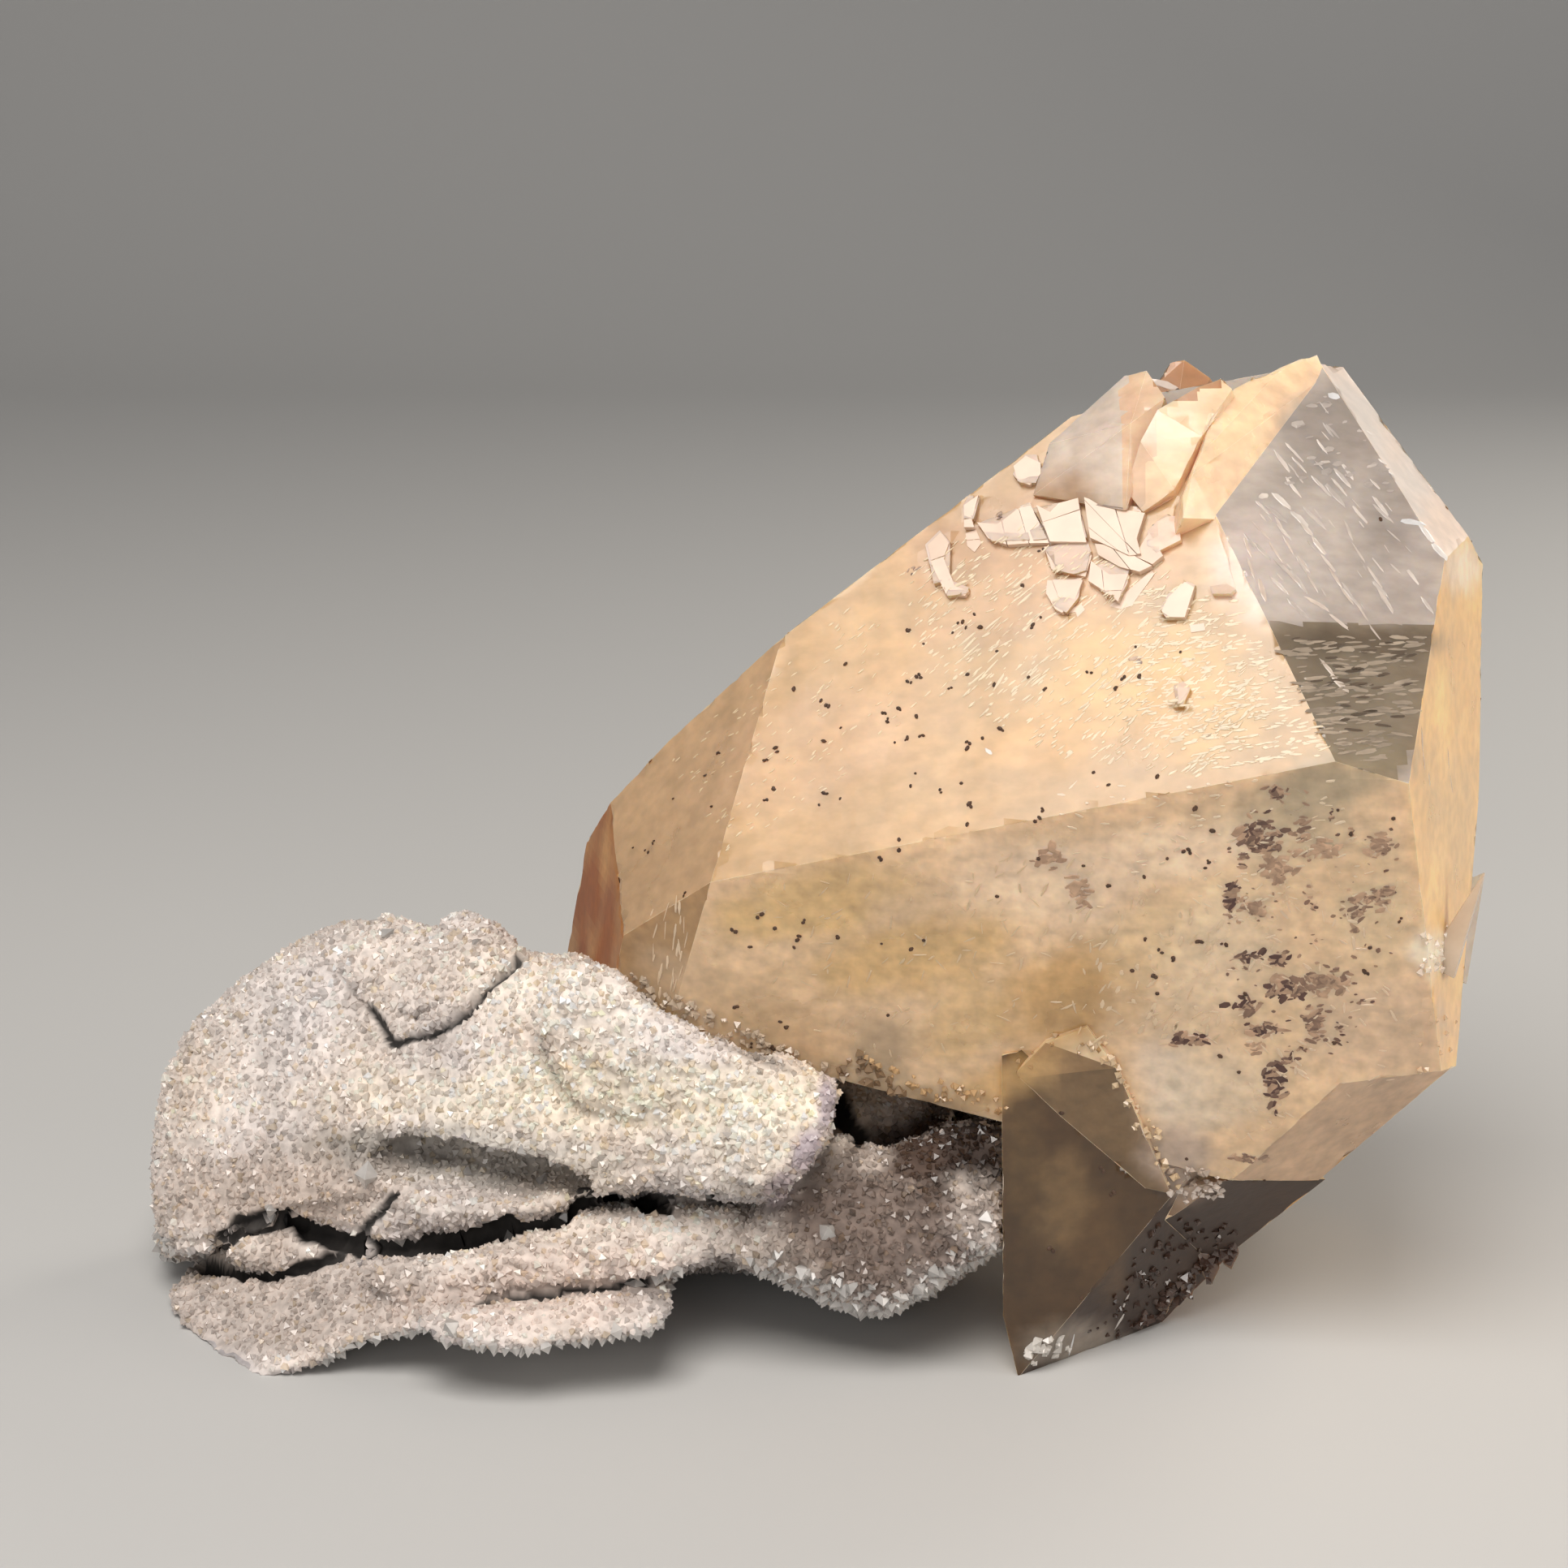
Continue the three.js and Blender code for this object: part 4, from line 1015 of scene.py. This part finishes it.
# Healed cracks come to the surface as pale thin sheets. In the clear corner they are long and slanting
# above the line that crosses it and short and level below. A few white scales among them are painted
# highlights, glints where the faces catch the light.
VEILS_AND_GLINTS = [
    # from, to, width in mm, colour
    ((1573, 606), (1610, 650), 0.7, (250, 240, 230)),
    ((1602, 640), (1648, 706), 0.45, (244, 230, 218)),
    ((1570, 636), (1625, 730), 0.4, (240, 224, 212)),
    ((1650, 640), (1716, 752), 0.45, (240, 226, 214)),
    ((1613, 734), (1663, 777), 0.5, (244, 228, 214)),
    ((1627, 812), (1658, 852), 0.7, (240, 222, 204)),
    ((1640, 700), (1700, 790), 0.3, (236, 220, 206)),
    ((1545, 640), (1600, 720), 0.4, (238, 222, 210)),
    ((1528, 660), (1560, 740), 0.5, (240, 222, 206)),
    # Painted highlights: this row and the next seven are white glints where the faces catch the light.
    ((1726, 642), (1752, 644), 0.8, (255, 255, 255)),
    ((1748, 646), (1780, 690), 0.9, (255, 250, 244)),
    ((1634, 488), (1648, 488), 1.0, (255, 255, 255)),
    ((1700, 566), (1708, 572), 0.5, (255, 246, 238)),
    ((1710, 582), (1718, 586), 0.5, (255, 246, 238)),
    ((1682, 530), (1690, 536), 0.4, (255, 246, 238)),
    ((1548, 612), (1560, 610), 0.7, (255, 244, 232)),
    ((1420, 470), (1450, 478), 0.7, (255, 240, 228)),
    ((1374, 1640), (1394, 1592), 0.5, (236, 228, 220)),
    # Painted highlights: this row and the next are white glints.
    ((1316, 1676), (1322, 1640), 0.4, (255, 255, 255)),
    ((1212, 922), (1222, 930), 0.4, (255, 250, 244)),
    ((1750, 900), (1762, 976), 0.5, (248, 226, 200)),
    ((1784, 920), (1790, 980), 0.4, (248, 226, 200)),
]
VEIL_FIELDS = [
    # outline, number, lean in degrees, length range in mm, width as a share of the length, colour
    ([(1572, 782), (1758, 784), (1738, 900), (1706, 945), (1648, 925)], 170, 4, (0.6, 2.4), 0.2,
     (200, 182, 160)),
    ([(1590, 785), (1745, 786), (1726, 900), (1700, 920), (1660, 905)], 30, 4, (0.8, 2.0), 0.22,
     (120, 104, 88)),
    ([(1530, 640), (1630, 500), (1760, 690), (1765, 760), (1570, 755)], 60, -54, (0.8, 3.4), 0.16,
     (246, 234, 224)),
    ([(1600, 470), (1660, 480), (1740, 640), (1700, 600), (1580, 600)], 40, 10, (0.3, 1.4), 0.5,
     (226, 214, 204)),
]
HIDDEN_VEILS = 24
HIDDEN_VEIL_LEANS = [39, -60]
VEIL_THICKNESS = 0.05 * MM
VEIL_CORNERS = 7
VEIL_STEP = 30
veil_and_glint_shape = bmesh.new()
veil_and_glint_tints = []


def add_veil_or_glint(at, outward, lean, length, width, colour):
    add_scale(veil_and_glint_shape, at, outward, lean, length, width, VEIL_THICKNESS, VEIL_CORNERS)
    veil_and_glint_tints.extend([linear(*colour)] * (len(veil_and_glint_shape.verts) - len(veil_and_glint_tints)))


for (ax, ay), (bx, by), width, colour in VEILS_AND_GLINTS:
    steps = max(1, round(math.hypot(bx - ax, by - ay) / VEIL_STEP))
    length = math.hypot(bx - ax, by - ay) / PIXELS_PER_MM * MM / steps
    for n in range(steps):
        share = (n + 0.5) / steps
        point = (ax + (bx - ax) * share + chance.normal(0, 1.5), ay + (by - ay) * share)
        turn = math.atan2(ay - by, bx - ax) + chance.normal(0, 0.08)
        at, outward, _, _ = crystal_tree.ray_cast(EYE, sight_line(*point))
        add_veil_or_glint(at, outward, turn, length * 1.3, width * MM * chance.uniform(0.6, 1.1), colour)
_, window_out, _, _ = crystal_tree.ray_cast(EYE, sight_line(*WINDOW_POINT))
for outline, count, lean, lengths, slimness, colour in VEIL_FIELDS:
    for point in points_within(outline, count):
        at, outward, _, _ = crystal_tree.ray_cast(EYE, sight_line(*point))
        length = chance.uniform(*lengths) * MM
        turn = math.radians(lean + chance.normal(0, 5))
        pale = chance.uniform(0.88, 1.03)
        shade = tuple(c * pale for c in colour)
        if outward.dot(window_out) > 0.99:
            wide = length * slimness * chance.uniform(0.6, 1.3)
            add_veil_or_glint(at, outward, turn, length, wide, shade)
for at, outward in hidden_places(HIDDEN_VEILS):
    length = chance.uniform(1.0, 5.0) * MM
    lean = math.radians(chance.choice(HIDDEN_VEIL_LEANS) + chance.normal(0, 6))
    add_veil_or_glint(at, outward, lean, length, chance.uniform(0.3, 0.9) * MM, (232, 206, 170))
veils_and_glints = piece_of(veil_and_glint_shape, "healed_cracks_and_glints")
paint(veils_and_glints.data, "tint", np.array(veil_and_glint_tints))
veils_and_glints.data.materials.append(clear_mineral("healed_crack_and_glint", 0.25, 1.6, 0.35, 700, 0.8, 1.05))

# A clear tip, eight millimetres long, stands on the right edge of the group, beside a patch of white
# cracks. It is a four-sided crystal with worn edges that grew out of the shard.
TIP_FOOT = (1778, 1196)
TIP_TOP = (1828, 1080)
TIP_RADIUS = 2.3 * MM
TIP_POINT = 0.15 * MM
TIP_WEAR = 0.1 * MM
TIP_SET_BACK = 1.2 * MM
foot_at, _, _, _ = crystal_tree.ray_cast(EYE, sight_line(*TIP_FOOT))
tip_reach = RIGHT * (TIP_TOP[0] - TIP_FOOT[0]) + UP * (TIP_FOOT[1] - TIP_TOP[1])
tip_reach = tip_reach / PIXELS_PER_MM * MM - LOOK * MM
tip_shape = bmesh.new()
bmesh.ops.create_cone(
    tip_shape, cap_ends=True, segments=4, radius1=TIP_RADIUS, radius2=TIP_POINT, depth=tip_reach.length
)
bmesh.ops.scale(tip_shape, vec=(1, 0.7, 1), verts=tip_shape.verts)
bmesh.ops.bevel(
    tip_shape,
    geom=[e for e in tip_shape.edges if e.calc_length() > WORN_LENGTH],
    offset=TIP_WEAR,
    affect="EDGES",
    segments=1,
    profile=0.5,
    material=-1,
    clamp_overlap=True,
)
bmesh.ops.rotate(
    tip_shape, cent=(0, 0, 0), matrix=tip_reach.to_track_quat("Z", "Y").to_matrix(), verts=tip_shape.verts
)
bmesh.ops.translate(tip_shape, vec=foot_at + tip_reach / 2 + LOOK * TIP_SET_BACK, verts=tip_shape.verts)
side_tip = piece_of(tip_shape, "side_tip")
one_tint(side_tip, (222, 206, 188))
side_tip.data.materials.append(clear_mineral("clear_tip", 0.12, 1.6, 0.3, 260, 0.8, 1.1))

# Dark specks are grains of iron oxide, a third of a millimetre across, that settled on the growing faces
# and are half grown over. They stand alone or in pairs, most of them on the front.
SPECK_SIZE = (0.26 * MM, 0.44 * MM)
HIDDEN_SPECKS = 110
SPECKS = [
    (979, 850), (1013, 866), (1020, 869), (1041, 821), (1131, 833), (1120, 841), (1171, 846),
    (1090, 877), (1095, 887), (1108, 872), (1127, 884), (1036, 899), (1017, 915), (957, 924),
    (944, 936), (1104, 914), (1115, 911), (1135, 909), (1191, 831), (1222, 845), (1192, 916),
    (1194, 922), (1208, 908), (1235, 898), (943, 984), (952, 973), (1010, 991), (1016, 976),
    (1034, 983), (1128, 951), (1119, 967), (1159, 974), (1182, 967), (1194, 992), (1189, 1017),
    (886, 928), (871, 954), (831, 984), (875, 994), (779, 1042), (803, 1039), (796, 1050), (845, 1103),
    (904, 1145), (924, 1167), (936, 1129), (956, 1141), (992, 1136), (984, 1156), (977, 1167),
    (1032, 1155), (1087, 1161), (1125, 1172), (1138, 1156), (906, 1240), (1092, 1253), (1226, 1106),
    (961, 1259), (970, 1264), (924, 1287), (950, 1290), (1109, 1034), (1109, 1046), (1084, 1058),
    (1120, 775), (1136, 794), (1183, 767), (1188, 772), (1176, 778), (1207, 774), (1201, 756),
    (1281, 758), (1271, 772), (1262, 722), (1283, 679), (1132, 833), (1226, 804), (1266, 832),
    (1289, 851), (1342, 826), (1377, 849), (1402, 800), (1383, 836), (1402, 834), (1454, 805),
    (1350, 954), (1365, 965), (1427, 958), (1473, 997), (1494, 1022), (1283, 998), (1278, 1010),
    (1459, 1050), (1464, 1048), (1467, 1053), (1436, 1060), (1482, 1069), (1490, 1063), (1336, 1065),
    (1365, 1089), (1278, 1055), (1410, 1082), (1478, 1162), (1508, 1162), (1410, 1157), (1430, 1173),
    (1443, 1183), (1393, 1193), (1422, 1204), (1425, 1226), (1714, 1007), (1664, 1025), (1725, 1133),
    (1686, 1169), (1683, 1198), (1524, 1323), (1503, 1303), (1459, 1426), (1357, 1440), (1310, 1373),
    (1534, 1226), (1646, 1286), (1370, 1470), (1295, 1540), (1330, 1600), (1650, 1000), (1700, 640),
]
speck_shape = bmesh.new()
for speck in SPECKS:
    for _ in range(chance.integers(1, 3)):
        near = np.array(speck) + chance.uniform(-3, 3, 2)
        at, outward, _, _ = crystal_tree.ray_cast(EYE, sight_line(*near))
        if at is None:
            continue
        made = bmesh.ops.create_icosphere(speck_shape, subdivisions=1, radius=0.5)["verts"]
        size = chance.uniform(*SPECK_SIZE)
        turn = Matrix.Rotation(chance.uniform(0, 6.3), 4, outward)
        stretch = Matrix.Diagonal((size * chance.uniform(0.8, 1.5), size * 0.6, size, 1))
        bmesh.ops.transform(speck_shape, matrix=Matrix.Translation(at) @ turn @ stretch, verts=made)
for at, outward in hidden_places(HIDDEN_SPECKS):
    made = bmesh.ops.create_icosphere(speck_shape, subdivisions=1, radius=0.5)["verts"]
    size = chance.uniform(*SPECK_SIZE)
    lay = Matrix.Diagonal((size * chance.uniform(0.8, 1.5), size * 0.7, size, 1))
    bmesh.ops.transform(speck_shape, matrix=Matrix.Translation(at) @ lay, verts=made)
specks = piece_of(speck_shape, "dark_specks")
one_tint(specks, (70, 46, 28))
speck_oxide, speck_shader = mineral("dark_oxide", 0.6)
uneven_tint(speck_oxide, speck_shader, 1500, 0.6, 1.4)
specks.data.materials.append(speck_oxide)

# Brown flecks are clusters of thin purplish scales in the lower right of the front, each a few tenths of a
# millimetre wide, that lie in and just under the face.
FLECKS = [
    # across, down, width, height, darkness
    (1575, 979, 34, 13, 0.8), (1556, 1032, 46, 42, 0.8), (1602, 1015, 18, 46, 0.6),
    (1533, 1057, 12, 20, 0.8), (1571, 1073, 36, 30, 0.4), (1703, 1042, 32, 26, 0.5),
    (1518, 1111, 16, 38, 0.9), (1543, 1118, 36, 16, 0.5), (1615, 1116, 10, 18, 0.8),
    (1677, 1116, 46, 28, 0.6), (1673, 1145, 16, 14, 0.6), (1621, 1157, 12, 12, 0.7),
    (1537, 1178, 38, 13, 1.0), (1574, 1182, 34, 14, 1.0), (1587, 1218, 42, 28, 0.8),
    (1633, 1210, 56, 28, 0.6), (1533, 1239, 28, 20, 0.9), (1556, 1267, 42, 17, 0.9),
    (1621, 1260, 28, 34, 0.7), (1650, 1268, 10, 20, 0.9), (1570, 1333, 22, 58, 1.0),
    (1588, 1308, 20, 18, 0.9), (1462, 1281, 40, 14, 1.0), (1541, 1428, 46, 9, 0.6),
    (1602, 1291, 10, 11, 0.9), (1640, 1004, 6, 14, 0.8), (1292, 1057, 36, 20, 0.35),
    (1330, 1099, 24, 26, 0.25), (1403, 812, 18, 10, 0.7), (1231, 638, 9, 12, 0.7),
    (1126, 702, 12, 9, 0.8), (1545, 1290, 20, 14, 0.3), (1700, 1100, 26, 18, 0.6),
    (1600, 1052, 18, 8, 0.7), (1665, 1026, 6, 10, 0.8), (1635, 1045, 30, 20, 0.3),
]
FLECK_FIELD = [(1520, 1000), (1740, 1020), (1720, 1180), (1640, 1330), (1540, 1340), (1500, 1150)]
FIELD_FLECKS = 110
FLECK_CORNERS = 6
fleck_shape = bmesh.new()
fleck_tints = []


def add_fleck(point, length, width, shade):
    at, outward, _, _ = crystal_tree.ray_cast(EYE, sight_line(*point))
    thickness = chance.uniform(0.03, 0.07) * MM
    turn = math.radians(chance.normal(12, 34))
    add_scale(fleck_shape, at, outward, turn, length, width, thickness, FLECK_CORNERS)
    tint = linear(206, 170, 138) * (1 - shade) + linear(78, 46, 38) * shade
    fleck_tints.extend([tint] * (len(fleck_shape.verts) - len(fleck_tints)))


for x, y, wide, high, darkness in FLECKS:
    for k in range(max(7, int(wide * high / 24))):
        point = (x + chance.normal(0, 0.27) * wide, y + chance.normal(0, 0.27) * high)
        pale = k % 4 == 0
        length = chance.uniform(0.5, 1.3) * MM * min(1, max(wide, high) / 26) * (1.3 if pale else 1)
        shade = min(1, darkness * chance.uniform(0.7, 1.25)) * (0.35 if pale else 1)
        add_fleck(point, length, length * chance.uniform(0.25, 0.6), shade)
for point in points_within(FLECK_FIELD, FIELD_FLECKS):
    length = chance.uniform(0.2, 0.6) * MM
    add_fleck(point, length, length * chance.uniform(0.4, 0.8), chance.uniform(0.3, 0.9))
flecks = piece_of(fleck_shape, "brown_flecks")
paint(flecks.data, "tint", np.array(fleck_tints))
flecks.data.materials.append(clear_mineral("purplish_scales", 0.35, 1.6, 0.2, 1200, 0.75, 1.3))

# The floor is a pale sheet of paper that lies flat under the specimen and curves up behind it in a cove,
# into an upright wall. It is made of one strip, spun and drawn out from the back edge.
FLOOR_HALF = 1.2
FLOOR_BACK = 0.55
COVE_RADIUS = 0.35
COVE_STEPS = 24
WALL_HEIGHT = 1.2
floor_shape = bmesh.new()
bmesh.ops.create_grid(floor_shape, x_segments=1, y_segments=1, size=FLOOR_HALF)
bmesh.ops.translate(floor_shape, vec=(0, FLOOR_BACK - FLOOR_HALF, 0), verts=floor_shape.verts)
back_edge = max(floor_shape.edges, key=lambda e: e.verts[0].co.y + e.verts[1].co.y)
cove = bmesh.ops.spin(
    floor_shape,
    geom=[back_edge, *back_edge.verts],
    cent=(0, FLOOR_BACK, COVE_RADIUS),
    axis=(1, 0, 0),
    angle=math.radians(90),
    steps=COVE_STEPS,
)
cove_top = [g for g in cove["geom_last"] if isinstance(g, bmesh.types.BMEdge)]
wall = bmesh.ops.extrude_edge_only(floor_shape, edges=cove_top)
wall_top = [g for g in wall["geom"] if isinstance(g, bmesh.types.BMVert)]
bmesh.ops.translate(floor_shape, vec=(0, 0, WALL_HEIGHT), verts=wall_top)
bmesh.ops.recalc_face_normals(floor_shape, faces=floor_shape.faces)
floor_mesh = bpy.data.meshes.new("floor")
floor_shape.to_mesh(floor_mesh)
floor_shape.free()
floor_mesh.shade_smooth()
floor = bpy.data.objects.new("floor", floor_mesh)
bpy.context.collection.objects.link(floor)
floor_paper, paper_shader = mineral("pale_paper", 0.7)
paper_shader.inputs["Base Color"].default_value = (0.58, 0.58, 0.57, 1)
floor_mesh.materials.append(floor_paper)

# The light comes from a large soft lamp above and in front, a wide weak one before the specimen, and two
# small ones at the back and the right that show its edges. A faint even light fills the rest.
LAMPS = [
    # name, place, aim, width, power, colour
    ("overhead_softbox", (-0.08, -0.26, 0.46), (0.01, 0.0, 0.03), 0.32, 2.4, (1.0, 0.95, 0.90)),
    ("front_fill", (-0.25, -0.95, 0.22), (0.0, 0.0, 0.03), 0.6, 2.2, (1.0, 0.96, 0.93)),
    ("back_light", (0.38, 0.30, 0.28), (0.03, 0.0, 0.04), 0.25, 0.9, (1.0, 0.92, 0.82)),
    ("right_light", (0.55, -0.18, 0.16), (0.05, 0.0, 0.05), 0.25, 1.1, (1.0, 0.92, 0.84)),
]
for name, place, aim, width, power, colour in LAMPS:
    lamp_light = bpy.data.lights.new(name, "AREA")
    lamp_light.size = width
    lamp_light.energy = power
    lamp_light.color = colour
    lamp = bpy.data.objects.new(name, lamp_light)
    lamp.location = place
    lamp.rotation_euler = (Vector(aim) - Vector(place)).to_track_quat("-Z", "Y").to_euler()
    bpy.context.collection.objects.link(lamp)
studio = bpy.data.worlds.new("studio")
studio.use_nodes = True
studio.node_tree.nodes["Background"].inputs["Color"].default_value = (0.80, 0.80, 0.82, 1)
studio.node_tree.nodes["Background"].inputs["Strength"].default_value = 0.2
bpy.context.scene.world = studio
